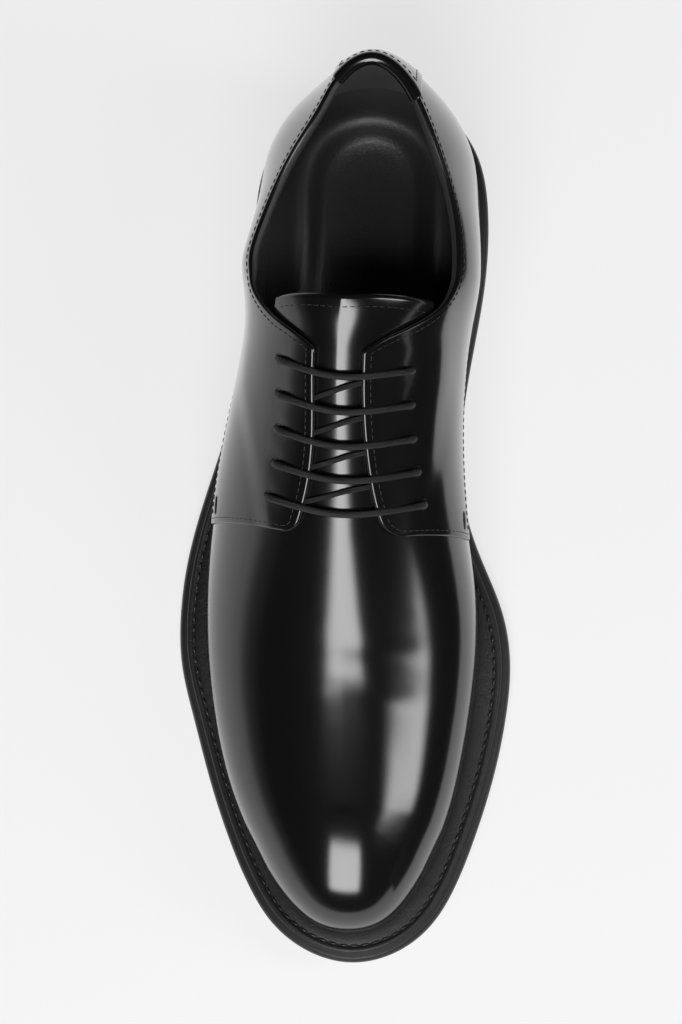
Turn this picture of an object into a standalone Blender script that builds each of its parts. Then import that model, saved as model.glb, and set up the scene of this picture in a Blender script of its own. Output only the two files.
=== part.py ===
# A plain-toe derby shoe for the right foot, in metres. The toe points along -Y, the inner (medial) side is +X,
# the floor is z = 0 and the origin is the middle of the sole's length and width on the floor.
# A station is a distance from the heel's back end, along the shoe.
import math

import bmesh
import bpy
import numpy as np
from mathutils import Matrix, Vector

# Sole
SOLE_LENGTH = 0.2980
SOLE_BALL_WIDTH = 0.1124
OUTSOLE_THICKNESS = 0.0067
OUTSOLE_BOTTOM_SETBACK = 0.0016   # behind the outsole's widest line
OUTSOLE_TOP_SETBACK = 0.0010
OUTSOLE_WIDEST = 0.55             # share of its thickness, from below
WELT_THICKNESS = 0.0036
WELT_SETBACK = 0.0028
WELT_FLANGE = 0.0060              # how far the welt reaches in past the feather line
WELT_BEVEL = 0.0007
SEAT_RISE = 0.0200                # outsole's underside at the seat, above the forepart
HEEL_LENGTH = 0.2550 * SOLE_LENGTH
HEEL_SETBACK = 0.0014
HEEL_TAPER = 0.0020
BREAST_HOLLOW = 0.0030
LIFT_THICKNESS = 0.0060           # top lift, at the foot of the heel
LIFT_GROOVE = 0.0006
TOE_SPRING = 0.0100
SEAT_END = 0.1007 * SOLE_LENGTH   # stations where the underside starts down, is flat and springs up
FLAT_START = 0.6174 * SOLE_LENGTH
FLAT_END = 0.6980 * SOLE_LENGTH
SPRING_POWER = 1.8

# Last and upper
UPPER_BALL_WIDTH = 0.0872
FEATHER_HEEL_INSET = 0.0045       # feather line's ends inside the sole's
FEATHER_TOE_INSET = 0.0117
INSTEP_HEIGHT = 0.0560            # ridge above the feather line where the throat ends
BACK_HEIGHT = 0.0575              # top edge above the seat: back, below the ankle, at the facings
ANKLE_HEIGHT = 0.0470
FACING_HEIGHT = 0.0625
ANKLE_STATION = 0.2500 * SOLE_LENGTH
VAMP_WALL = 0.0020
QUARTER_STEP = 0.0012             # quarter leather standing on the vamp
STEP_RUN = 0.0005                 # width of the step's slope
HEEL_POLE = 0.1544 * SOLE_LENGTH  # the ridge starts and ends here
TOE_POLE = 0.8322 * SOLE_LENGTH
POLE_RUN = 0.0671 * SOLE_LENGTH   # how softly it does
RIB_SWEEP_LATERAL = 0.0100        # the ribs lean this far forward
RIB_SWEEP_MEDIAL = 0.0040

# Throat, tongue, laces
THROAT_TOP = 0.3691 * SOLE_LENGTH
THROAT_END = 0.5453 * SOLE_LENGTH
THROAT_TOP_GAP = 0.0147
THROAT_END_GAP = 0.0305
TONGUE_TOP = 0.2980 * SOLE_LENGTH
TONGUE_THICKNESS = 0.0018
TONGUE_HALF_WIDTH = 0.0230
TONGUE_END_HALF_WIDTH = 0.0146
TONGUE_ROOM = 0.0080              # facings come down on the last over this width, past the tongue
FACING_GAP = 0.0007               # between the tongue and the facings
EYELET_ROWS = 5
EYELET_FIRST = 0.3708 * SOLE_LENGTH
EYELET_PITCH = 0.03524 * SOLE_LENGTH
EYELET_DIAMETER = 0.0034
EYELET_SETBACK_LATERAL = 0.0097   # behind the facing's edge
EYELET_SETBACK_MEDIAL = 0.0130
LACE_DIAMETER = 0.0020
LACE_SAG = 0.0026

# Insole and heel tab
INSOLE_THICKNESS = 0.0035
INSOLE_CLEARANCE = 0.0012         # inside the upper's wall
SEAT_RIM_HEIGHT = 0.0050          # above the insole
SEAT_RIM_WIDTH = 0.0110
SEAT_RIM_END = 0.3020 * SOLE_LENGTH
HEEL_TAB_WIDTH = 0.0228
HEEL_TAB_HEIGHT = 0.0300
HEEL_TAB_X = 0.0136
HEEL_TAB_THICKNESS = 0.0012
HEEL_TAB_PROUD = 0.0008           # above the top edge
GAP = 0.0003
SEAM_GAP = 0.0005                 # between the upper's foot and the welt

# Sole outline. Shares of the sole length, and of half the sole's ball width; lateral is -X
SOLE_PLAN = [
    # share, lateral, medial
    (0.000, 0.163, 0.163),
    (0.030, -0.275, 0.600),
    (0.083, -0.475, 0.805),
    (0.150, -0.545, 0.868),
    (0.235, -0.548, 0.846),
    (0.320, -0.615, 0.765),
    (0.400, -0.735, 0.705),
    (0.480, -0.878, 0.725),
    (0.545, -0.967, 0.838),
    (0.600, -1.002, 0.952),
    (0.660, -0.992, 1.000),
    (0.720, -0.918, 0.975),
    (0.790, -0.815, 0.900),
    (0.860, -0.688, 0.787),
    (0.915, -0.558, 0.672),
    (0.955, -0.420, 0.545),
    (0.982, -0.250, 0.385),
    (1.000, 0.065, 0.065),
]

# Feather line, where upper and welt meet. Shares of its own length, and of half the upper's ball width
FEATHER_PLAN = [
    # share, lateral, medial
    (0.000, 0.210, 0.210),
    (0.030, -0.290, 0.713),
    (0.085, -0.505, 0.925),
    (0.150, -0.545, 0.959),
    (0.235, -0.573, 0.930),
    (0.320, -0.665, 0.860),
    (0.420, -0.820, 0.815),
    (0.520, -0.945, 0.872),
    (0.610, -1.000, 0.965),
    (0.690, -0.986, 0.975),
    (0.760, -0.922, 0.924),
    (0.830, -0.810, 0.842),
    (0.890, -0.655, 0.730),
    (0.940, -0.480, 0.580),
    (0.975, -0.302, 0.425),
    (0.992, -0.155, 0.290),
    (1.000, 0.060, 0.060),
]

# The last's ridge. Shares of the sole length, of the instep height, of half the upper's ball width
RIDGE = [
    # share, height above the forepart's feather line, x
    (0.100, 2.060, 0.240),
    (0.190, 1.900, 0.180),
    (0.280, 1.650, 0.100),
    (0.380, 1.400, 0.044),
    (0.460, 1.190, 0.040),
    (0.530, 1.020, 0.028),
    (0.600, 0.870, 0.028),
    (0.670, 0.760, 0.035),
    (0.750, 0.675, 0.046),
    (0.835, 0.595, 0.060),
]

# The ribs' handles. Stations are shares of the sole length. Pull: outward at the feather line, of half the
# upper's ball width. Lift: up from the feather line, of the rib's rise. Crown: back from the ridge, of the
# rib's reach.
RIBS = [
    # share, pull lateral, pull medial, lift, crown lateral, crown medial
    (0.015, 0.030, 0.030, 0.330, 0.700, 0.700),
    (0.100, 0.050, 0.060, 0.340, 0.700, 0.700),
    (0.180, 0.080, 0.100, 0.380, 0.700, 0.700),
    (0.260, 0.110, 0.150, 0.430, 0.720, 0.720),
    (0.350, 0.120, 0.190, 0.480, 0.660, 0.680),
    (0.450, 0.130, 0.200, 0.520, 0.580, 0.600),
    (0.560, 0.120, 0.160, 0.560, 0.540, 0.560),
    (0.670, 0.100, 0.120, 0.600, 0.530, 0.550),
    (0.780, 0.080, 0.090, 0.640, 0.540, 0.550),
    (0.880, 0.060, 0.060, 0.700, 0.560, 0.560),
    (0.962, 0.050, 0.050, 0.740, 0.580, 0.580),
]

# Where the last passes the shoe's top edge, from its back to the ankle. Shares of the sole length, and of
# half the upper's ball width
TOP_EDGE_PLAN = [
    # share, lateral, medial
    (0.0305, 0.275, 0.275),
    (0.042, 0.112, 0.429),
    (0.081, -0.067, 0.600),
    (0.123, -0.252, 0.711),
    (0.196, -0.495, 0.851),
    (0.248, -0.608, 0.878),
    (0.330, -0.660, 0.860),
    (0.450, -0.700, 0.850),
]
TOP_EDGE_WAY = 0.60               # how far up their ribs those points lie

# Lower edge of the quarters. Shares of the sole length, and of the way up the rib
QUARTER_EDGE = [
    # share, lateral, medial
    (0.000, 0.060, 0.060),
    (0.150, 0.080, 0.080),
    (0.280, 0.110, 0.110),
    (0.400, 0.150, 0.140),
    (0.480, 0.200, 0.180),
    (0.540, 0.250, 0.220),
    (0.750, 0.300, 0.300),
    (1.000, 0.320, 0.320),
]
# The vamp's lower edge fades into the quarter between these stations
VAMP_BACK_END = (0.1678 * SOLE_LENGTH, 0.2852 * SOLE_LENGTH)

# How finely the surfaces are divided
OUTLINE_POINTS = 96
SIDE_RIBS = 36
VAMP_RIBS = 11
TOE_RIBS = 12
LOW_ROWS = 4
HIGH_ROWS = 7
RIDGE_ROWS = 5


def ease(x):
    """0 to 1 with no kink in slope or curvature at either end."""
    x = np.clip(x, 0.0, 1.0)
    return x * x * x * (10.0 - 15.0 * x + 6.0 * x * x)


def spline(knots, values, closed=False):
    """A cubic curve through the values at the knots, as a function."""
    knots = np.asarray(knots, float)
    values = np.asarray(values, float).reshape(len(knots), -1)
    count = len(knots)
    step = np.diff(knots)
    slope = np.diff(values, axis=0) / step[:, None]
    matrix = np.eye(count)
    right = np.zeros_like(values)
    for i in range(1, count - 1):
        matrix[i, i - 1:i + 2] = step[i - 1], 2.0 * (step[i - 1] + step[i]), step[i]
        right[i] = 6.0 * (slope[i] - slope[i - 1])
    if closed:
        matrix[0, :2] = 2.0 * (step[-1] + step[0]), step[0]
        matrix[0, -2] = step[-1]
        right[0] = 6.0 * (slope[0] - slope[-1])
        matrix[-1, 0] = -1.0
    bend = np.linalg.solve(matrix, right)

    def curve(t):
        t = np.asarray(t, float)
        i = np.clip(np.searchsorted(knots, t, side="right") - 1, 0, count - 2)
        h = step[i][..., None]
        a = (knots[i + 1] - t)[..., None] / h
        b = (t - knots[i])[..., None] / h
        value = a * values[i] + b * values[i + 1]
        value = value + ((a ** 3 - a) * bend[i] + (b ** 3 - b) * bend[i + 1]) * h * h / 6.0
        return value[..., 0] if value.shape[-1] == 1 else value

    return curve


def column(table, index):
    """One column of a table as a function of the station."""
    return spline([row[0] * SOLE_LENGTH for row in table], [row[index] for row in table])


def closed_outline(plan, length, half_width, start):
    """Outline of a plan table: its point and outward normal at a way q round it, from the heel's back end
    (0) by the lateral side to the toe's tip (0.5) and back by the medial side (1). Points are (x, station)."""
    lateral = [(row[1] * half_width, start + row[0] * length) for row in plan]
    medial = [(row[2] * half_width, start + row[0] * length) for row in plan]
    points = np.array(lateral + medial[-2::-1])
    knots = np.concatenate([[0.0], np.cumsum(np.linalg.norm(np.diff(points, axis=0), axis=1))])
    curve = spline(knots, points, closed=True)
    fine = np.linspace(0.0, knots[-1], 4001)
    traced = curve(fine)
    way = np.concatenate([[0.0], np.cumsum(np.linalg.norm(np.diff(traced, axis=0), axis=1))])
    tip = way[np.argmax(traced[:, 1])]
    turn = np.where(way <= tip, 0.5 * way / tip, 0.5 + 0.5 * (way - tip) / (way[-1] - tip))

    def at(q):
        return curve(np.interp(np.asarray(q, float) % 1.0, turn, fine))

    def outline(q):
        near = 0.0008
        tangent = at(np.asarray(q) + near) - at(np.asarray(q) - near)
        tangent = tangent / np.linalg.norm(tangent, axis=-1, keepdims=True)
        return at(q), np.stack([-tangent[..., 1], tangent[..., 0]], axis=-1)

    return outline


def underside(station):
    """Height of the outsole's underside: the seat, the arch, the flat at the ball and the toe spring."""
    arch = SEAT_RISE * (1.0 - ease((station - SEAT_END) / (FLAT_START - SEAT_END)))
    return arch + toe_spring(station)


def toe_spring(station):
    way = np.clip((station - FLAT_END) / (SOLE_LENGTH - FLAT_END), 0.0, 1.2)
    return TOE_SPRING * way ** SPRING_POWER


def welt_top(station):
    return underside(station) + OUTSOLE_THICKNESS + WELT_THICKNESS


def held(station, limit, run):
    """The station, coming to a soft stop at the limit."""
    t = np.clip((station - limit + run) / (2.0 * run), 0.0, 1.0)
    stopped = limit - run + 2.0 * run * (t - t ** 4 * (2.5 - 3.0 * t + t * t))
    return np.where(station < limit - run, station, stopped)


sole_outline = closed_outline(SOLE_PLAN, SOLE_LENGTH, SOLE_BALL_WIDTH / 2.0, 0.0)
feather_outline = closed_outline(FEATHER_PLAN, SOLE_LENGTH - FEATHER_HEEL_INSET - FEATHER_TOE_INSET,
                                 UPPER_BALL_WIDTH / 2.0, FEATHER_HEEL_INSET)
ridge_height = column(RIDGE, 1)
ridge_offset = column(RIDGE, 2)
rib_columns = [column(RIBS, index) for index in range(1, 6)]
quarter_edge_lateral = column(QUARTER_EDGE, 1)
quarter_edge_medial = column(QUARTER_EDGE, 2)


def world(x, station, z):
    return np.stack(np.broadcast_arrays(x, SOLE_LENGTH / 2.0 - station, z), axis=-1)


def ridge_x(station):
    return ridge_offset(station) * UPPER_BALL_WIDTH / 2.0


def ridge(station):
    z = OUTSOLE_THICKNESS + WELT_THICKNESS + toe_spring(station) + INSTEP_HEIGHT * ridge_height(station)
    return world(ridge_x(station), station, z)


def ridge_station(q):
    """Where on the ridge the rib from the feather line's point q ends."""
    point, _ = feather_outline(q)
    station = point[..., 1]
    way = station / SOLE_LENGTH
    lateral = np.asarray(q) % 1.0 < 0.5
    sweep = np.where(lateral, RIB_SWEEP_LATERAL, RIB_SWEEP_MEDIAL)
    station = station + sweep * ease(way / 0.4) * ease((1.0 - way) / 0.4)
    station = held(station, TOE_POLE, POLE_RUN)
    return -held(-station, -HEEL_POLE, POLE_RUN)


def collar_height(station):
    """The top edge above the floor: it dips below the ankle and rises to the facings."""
    height = BACK_HEIGHT + (ANKLE_HEIGHT - BACK_HEIGHT) * ease(station / ANKLE_STATION)
    facing = ease((station - ANKLE_STATION) / (THROAT_TOP - ANKLE_STATION))
    return welt_top(0.0) + height + (FACING_HEIGHT - ANKLE_HEIGHT) * facing


def trace_top_edge():
    """The point of the top edge that each rib passes, as a function of q."""
    q = np.linspace(0.0, 1.0, 1201)
    foot = feather_outline(q)[0]
    station = ridge_station(q)
    centre = np.stack([ridge_x(station), station], axis=-1)
    plan = [(row[1], row[0]) for row in TOP_EDGE_PLAN[:0:-1]] + [(row[2], row[0]) for row in TOP_EDGE_PLAN]
    plan = np.array(plan) * np.array([UPPER_BALL_WIDTH / 2.0, SOLE_LENGTH])
    way = np.concatenate([[0.0], np.cumsum(np.linalg.norm(np.diff(plan, axis=0), axis=1))])
    edge = spline(way, plan)(np.linspace(0.0, way[-1], 1200))
    targets = np.zeros((len(q), 2))
    for i in range(len(q)):
        ray = foot[i] - centre[i]
        away = edge - centre[i]
        turn = ray[0] * away[:, 1] - ray[1] * away[:, 0]
        crossed = np.nonzero((turn[1:] * turn[:-1] <= 0.0) & (away[1:] @ ray > 0.0))[0]
        k = crossed[0] if len(crossed) else (0 if q[i] < 0.5 else len(edge) - 2)
        share = turn[k] / (turn[k] - turn[k + 1]) if len(crossed) else 0.0
        targets[i] = edge[k] + (edge[k + 1] - edge[k]) * share
    return lambda way: np.stack([np.interp(np.asarray(way) % 1.0, q, targets[:, i]) for i in (0, 1)], axis=-1)


def rib(q):
    """The four handles of the rib from the feather line's point q up to the ridge."""
    q = np.asarray(q, float)
    lateral = q % 1.0 < 0.5
    point, normal = feather_outline(q)
    station = point[..., 1]
    pull_l, pull_m, lift, crown_l, crown_m = [value(station) for value in rib_columns]
    pull = np.where(lateral, pull_l, pull_m) * UPPER_BALL_WIDTH / 2.0
    crown = np.where(lateral, crown_l, crown_m)
    foot = world(point[..., 0], station, welt_top(station) + SEAM_GAP)
    end = ridge_station(q)
    top = ridge(end)
    rise = (top - foot)[..., 2]
    outward = np.stack([normal[..., 0], -normal[..., 1], np.zeros_like(rise)], axis=-1)
    up = np.array([0.0, 0.0, 1.0])
    low = foot + outward * pull[..., None] + up * (lift * rise)[..., None]
    high = top + (foot - top) * np.array([1.0, 1.0, 0.0]) * crown[..., None]
    edge = top_edge(q)
    edge = world(edge[..., 0], edge[..., 1], collar_height(edge[..., 1]))
    v = TOP_EDGE_WAY
    w = 1.0 - v
    through = (edge - w ** 3 * foot - 3.0 * v * w * w * low - v ** 3 * top) / (3.0 * v * v * w)
    rear = 1.0 - ease((end - ANKLE_STATION + 0.004) / (THROAT_TOP - ANKLE_STATION))[..., None]
    return foot, low, high + (through - high) * rear, top


def last(q, v):
    """The last's surface: v runs up the rib from the feather line (0) to the ridge (1)."""
    foot, low, high, top = rib(q)
    v = np.asarray(v, float)[..., None]
    w = 1.0 - v
    return w ** 3 * foot + 3.0 * v * w * w * low + 3.0 * v * v * w * high + v ** 3 * top


def unit(vector):
    return vector / np.linalg.norm(vector, axis=-1, keepdims=True)


def shell(q, v, offset):
    """The last's surface moved out by the offset."""
    q, v, offset = np.broadcast_arrays(np.asarray(q, float), np.asarray(v, float), np.asarray(offset, float))
    near = 0.0010
    inner = np.minimum(v, 0.97)
    along = last(q + near, inner) - last(q - near, inner)
    upward = last(q, inner + near) - last(q, inner - near)
    normal = unit(np.cross(along, upward))
    station = ridge_station(q)
    crest = ridge(station + near) - ridge(station - near)
    crest = unit(np.cross(np.array([1.0, 0.0, 0.0]), crest))
    crest = crest * np.sign(crest[..., 2:3])
    _, plan = feather_outline(q)
    level = np.stack([plan[..., 0], -plan[..., 1], np.zeros_like(v)], axis=-1)
    at_top = ease((v - 0.85) / 0.15)[..., None]
    at_foot = 1.0 - ease(v / 0.08)[..., None]
    normal = unit(normal * (1.0 - at_top) + crest * at_top)
    normal = unit(normal * (1.0 - at_foot) + level * at_foot)
    return last(q, v) + normal * offset[..., None]


def first_crossing(q, test):
    """The lowest v of each rib where the test, of its point, turns from below to above zero; 1 if none."""
    v = np.linspace(0.0, 1.0, 301)
    found = []
    for one in np.atleast_1d(q):
        values = test(last(np.full(v.shape, one), v))
        above = np.nonzero(values[1:] >= 0.0)[0]
        if len(above) == 0 or values[above[0]] >= 0.0:
            found.append(1.0 if len(above) == 0 else v[above[0]])
            continue
        i = above[0]
        found.append(v[i] + (v[i + 1] - v[i]) * -values[i] / (values[i + 1] - values[i]))
    return np.array(found)


def station_of(point):
    return SOLE_LENGTH / 2.0 - point[..., 1]


def above_collar(point):
    return point[..., 2] - collar_height(station_of(point))


def throat_half_gap(station):
    way = np.clip((station - THROAT_TOP) / (THROAT_END - THROAT_TOP), 0.0, 1.0)
    return (THROAT_TOP_GAP + (THROAT_END_GAP - THROAT_TOP_GAP) * way ** 3) / 2.0


def tongue_half_width(station):
    way = np.clip((station - THROAT_TOP) / (THROAT_END - THROAT_TOP), 0.0, 1.0)
    return TONGUE_HALF_WIDTH + (TONGUE_END_HALF_WIDTH - TONGUE_HALF_WIDTH) * way


def from_ridge(point):
    return np.abs(point[..., 0] - ridge_x(station_of(point)))


def within_throat(point):
    station = station_of(point)
    return np.where(station > TONGUE_TOP, throat_half_gap(station) - from_ridge(point), -1.0)


top_edge = trace_top_edge()


def q_of_ridge(station, side):
    """The way q, on one side, of the first rib that ends at a station of the ridge."""
    q = np.linspace(0.001, 0.499, 1500) if side < 0 else np.linspace(0.999, 0.501, 1500)
    reached = ridge_station(q)
    i = int(np.argmax(reached >= station - 1e-9))
    share = (station - reached[i - 1]) / (reached[i] - reached[i - 1]) if i > 0 else 0.0
    return float(q[i - 1] + (q[i] - q[i - 1]) * share) if i > 0 else float(q[0])


def across(station, offset):
    """The rib that ends at a station of the ridge, and how far up it lies the offset from the ridge."""
    q = q_of_ridge(station, -1 if offset < 0.0 else 1)
    v = first_crossing(q, lambda point: abs(offset) - from_ridge(point))[0]
    return q, v


def wall(q, v, above_step):
    """Inner and outer offset of the upper's wall, on the vamp's side of its step or on the quarter's."""
    point = last(q, v)
    station = station_of(point)
    clear = tongue_half_width(station) + TONGUE_ROOM / 2.0
    room = 1.0 - ease((from_ridge(point) - clear) / TONGUE_ROOM)
    room = room * ease((station - TONGUE_TOP) / TONGUE_ROOM + 2.0)
    lifted = (TONGUE_THICKNESS + FACING_GAP) * room
    quarter = VAMP_WALL + QUARTER_STEP
    if above_step:
        return lifted, np.full(v.shape, quarter) + 0.35 * lifted
    fade = ease((station - VAMP_BACK_END[0]) / (VAMP_BACK_END[1] - VAMP_BACK_END[0]))
    return np.zeros(v.shape), quarter - QUARTER_STEP * fade


def quarter_edge(q):
    point, _ = feather_outline(q)
    lateral = np.asarray(q) % 1.0 < 0.5
    return np.where(lateral, quarter_edge_lateral(point[..., 1]), quarter_edge_medial(point[..., 1]))


def add_grid(mesh, rows, flip=False):
    """Quads between rows of points."""
    made = [[mesh.verts.new(point) for point in row] for row in rows]
    for low, high in zip(made, made[1:]):
        for i in range(len(low) - 1):
            corners = (low[i], low[i + 1], high[i + 1], high[i])
            mesh.faces.new(corners[::-1] if flip else corners)


def finish(name, mesh, material, sharp_degrees=35.0):
    """Weld a bmesh, point its faces out and make it an object."""
    bmesh.ops.remove_doubles(mesh, verts=mesh.verts, dist=0.00002)
    bmesh.ops.recalc_face_normals(mesh, faces=mesh.faces)
    data = bpy.data.meshes.new(name)
    mesh.to_mesh(data)
    mesh.free()
    return make_object(name, data, material, sharp_degrees)


def make_object(name, data, material, sharp_degrees=35.0):
    data.materials.clear()
    data.materials.append(material)
    data.shade_smooth()
    data.set_sharp_from_angle(angle=math.radians(sharp_degrees))
    part = bpy.data.objects.new(name, data)
    shoe.objects.link(part)
    return part


def make_material(name, color, roughness):
    material = bpy.data.materials.new(name)
    material.use_nodes = True
    shader = material.node_tree.nodes["Principled BSDF"]
    shader.inputs["Base Color"].default_value = (*color, 1.0)
    shader.inputs["Roughness"].default_value = roughness
    return material


def upper_edge(q):
    """How far up each rib the quarter reaches: to the top edge or to the throat."""
    return np.minimum(first_crossing(q, above_collar), first_crossing(q, within_throat))


def upper_rows(q, edge_v, vamp):
    """The v of each row of one rib, with two close rows where the quarter's lower edge is."""
    step_v = float(quarter_edge(q))
    foot, _, _, top = rib(q)
    half_step = STEP_RUN / 2.0 / np.linalg.norm(top - foot)
    low = np.linspace(0.0, step_v - half_step, LOW_ROWS + 1)
    high = np.linspace(step_v + half_step, edge_v, HIGH_ROWS + 1)
    rows = [low, high]
    if vamp:
        rows.append(np.linspace(edge_v, 1.0, RIDGE_ROWS + 1)[1:])
    return rows


def upper_rib(q, edge_v, vamp):
    """Outer and inner points of one rib of the upper, from the feather line up."""
    outer, inner = [], []
    for index, v in enumerate(upper_rows(q, edge_v, vamp)):
        way = np.full(v.shape, float(q))
        low_offset, high_offset = wall(way, v, above_step=index > 0)
        if vamp:
            low_offset, high_offset = np.zeros(v.shape), np.full(v.shape, VAMP_WALL)
        outer.extend(shell(way, v, high_offset))
        inner.extend(shell(way, v, low_offset))
    return outer, inner


def side_spacing():
    """Shares of the way from heel to throat end, with ribs closer where the top edge climbs to the facings."""
    way = np.linspace(0.0, 1.0, 401)
    density = 1.0 + 2.2 * np.exp(-((way - 0.60) / 0.10) ** 2)
    total = np.concatenate([[0.0], np.cumsum((density[1:] + density[:-1]) / 2.0)])
    return np.interp(np.linspace(0.0, total[-1], SIDE_RIBS + 1), total, way)


def upper_ribs():
    """All ribs in order round the shoe: (q, edge v, part of the vamp alone)."""
    ribs = []
    for side in (-1, 1):
        throat_q = q_of_ridge(THROAT_END, side)
        first_q = 0.0 if side < 0 else 1.0
        q = first_q + (throat_q - first_q) * side_spacing()
        edge = upper_edge(q)
        quarter = [(one, v, False) for one, v in zip(q, edge)]
        stations = np.linspace(THROAT_END + STEP_RUN, TOE_POLE, VAMP_RIBS + 1)
        vamp = []
        for i, station in enumerate(stations):
            v = edge[-1] + (0.80 - edge[-1]) * ease(i / VAMP_RIBS)
            vamp.append((q_of_ridge(station, side), v, True))
        ribs.append(quarter + vamp)
    lateral, medial = ribs
    toe = np.linspace(lateral[-1][0], medial[-1][0], TOE_RIBS + 1)[1:-1]
    return lateral + [(one, 0.80, True) for one in toe] + medial[:0:-1]


def build_upper():
    mesh = bmesh.new()
    ribs = upper_ribs()
    points = [upper_rib(*one) for one in ribs]
    surfaces = [[[mesh.verts.new(p) for p in side] for side in pair] for pair in points]
    edge_row = LOW_ROWS + HIGH_ROWS + 1

    def quad(*corners):
        if len({v.co.to_tuple(7) for v in corners}) > 2:
            mesh.faces.new(corners)

    count = len(ribs)
    for i in range(count):
        (outer_a, inner_a), (outer_b, inner_b) = surfaces[i], surfaces[(i + 1) % count]
        both_vamp = ribs[i][2] and ribs[(i + 1) % count][2]
        top = len(outer_a) - 1 if both_vamp else edge_row
        for j in range(top):
            quad(outer_a[j], outer_b[j], outer_b[j + 1], outer_a[j + 1])
            quad(inner_a[j + 1], inner_b[j + 1], inner_b[j], inner_a[j])
        quad(outer_b[0], outer_a[0], inner_a[0], inner_b[0])
        if not both_vamp:
            quad(outer_a[top], outer_b[top], inner_b[top], inner_a[top])
        if ribs[i][2] != ribs[(i + 1) % count][2]:
            # the vamp's back edge across the throat
            outer, inner = (outer_b, inner_b) if ribs[(i + 1) % count][2] else (outer_a, inner_a)
            for j in range(edge_row, len(outer) - 1):
                quad(outer[j], outer[j + 1], inner[j + 1], inner[j])
    upper = finish("upper", mesh, upper_leather)
    holes = bmesh.new()
    for row in range(EYELET_ROWS):
        for side in (-1, 1):
            q, v, offset = eyelet(row, side)
            centre = Vector(shell(q, v, offset))
            axis = Vector(shell(q, v, offset + 0.001)) - centre
            turn = axis.to_track_quat("Z", "Y").to_matrix().to_4x4()
            bmesh.ops.create_cone(holes, cap_ends=True, segments=12, radius1=EYELET_DIAMETER / 2.0,
                                  radius2=EYELET_DIAMETER / 2.0, depth=4.0 * VAMP_WALL,
                                  matrix=Matrix.Translation(centre) @ turn)
    cut(upper, holes, "eyelet_holes")


def cut(part, mesh, name):
    """Take the closed shapes of a bmesh away from a part."""
    data = bpy.data.meshes.new(name)
    mesh.to_mesh(data)
    mesh.free()
    cutter = bpy.data.objects.new(name, data)
    cutter.hide_render = True
    cutter.display_type = "WIRE"
    cutters.objects.link(cutter)
    boolean = part.modifiers.new(name, "BOOLEAN")
    boolean.operation = "DIFFERENCE"
    boolean.solver = "EXACT"
    boolean.object = cutter


def facing_top(q, v):
    """Outer offset of the facing at a point."""
    way = np.atleast_1d(np.asarray(q, float))
    return float(wall(way, np.atleast_1d(np.asarray(v, float)), above_step=True)[1][0])


def eyelet(row, side):
    """Rib, height up it and outer offset of an eyelet."""
    station = EYELET_FIRST + row * EYELET_PITCH
    setback = EYELET_SETBACK_LATERAL if side < 0 else EYELET_SETBACK_MEDIAL
    q, v = across(station, side * (float(throat_half_gap(station)) + setback))
    return q, v, facing_top(q, v)


def build_laces():
    """Straight bars from eyelet to eyelet, lying on the facings and sagging a little towards the toe."""
    radius = LACE_DIAMETER / 2.0
    for row in range(EYELET_ROWS):
        station = EYELET_FIRST + row * EYELET_PITCH
        gap = float(throat_half_gap(station))
        ends = (-gap - EYELET_SETBACK_LATERAL, gap + EYELET_SETBACK_MEDIAL)
        points = []
        for t in np.linspace(0.0, 1.0, 13):
            offset = ends[0] + (ends[1] - ends[0]) * t
            bow = LACE_SAG * math.sin(math.pi * t)
            q, v = across(station + bow, offset if abs(offset) > 1e-4 else 1e-4)
            sunk = 0.0009 * (1.0 - ease(abs(offset) / gap - 0.2))
            points.append(shell(q, v, facing_top(q, v) + GAP + radius - sunk))
        curve = bpy.data.curves.new(f"lace_bar_{row + 1}", "CURVE")
        curve.dimensions = "3D"
        curve.bevel_depth = radius
        curve.bevel_resolution = 2
        curve.use_fill_caps = True
        line = curve.splines.new("POLY")
        line.points.add(len(points) - 1)
        for target, point in zip(line.points, points):
            target.co = (*point, 1.0)
        curve.materials.append(lace_cord)
        shoe.objects.link(bpy.data.objects.new(f"lace_bar_{row + 1}", curve))


def build_tongue():
    mesh = bmesh.new()
    stations = np.linspace(TONGUE_TOP, THROAT_END + STEP_RUN - 1.5 * GAP, 14)
    rows = RIDGE_ROWS + 1
    top, bottom = [], []
    for station in stations:
        half = float(tongue_half_width(station))
        q_l, v_l = across(station, -half)
        q_m, v_m = across(station, half)
        v_up = np.linspace(v_l, 1.0, rows)
        v_down = np.linspace(1.0, v_m, rows)[1:]
        q = np.concatenate([np.full(rows, q_l), np.full(rows - 1, q_m)])
        v = np.concatenate([v_up, v_down])
        top.append(shell(q, v, TONGUE_THICKNESS))
        bottom.append(shell(q, v, 0.0))
    top, bottom = np.array(top), np.array(bottom)
    add_grid(mesh, top)
    add_grid(mesh, bottom, flip=True)
    add_grid(mesh, [top[0], bottom[0]])
    add_grid(mesh, [top[-1], bottom[-1]], flip=True)
    add_grid(mesh, [top[:, 0], bottom[:, 0]])
    add_grid(mesh, [top[:, -1], bottom[:, -1]], flip=True)
    finish("tongue", mesh, upper_leather)


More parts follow.
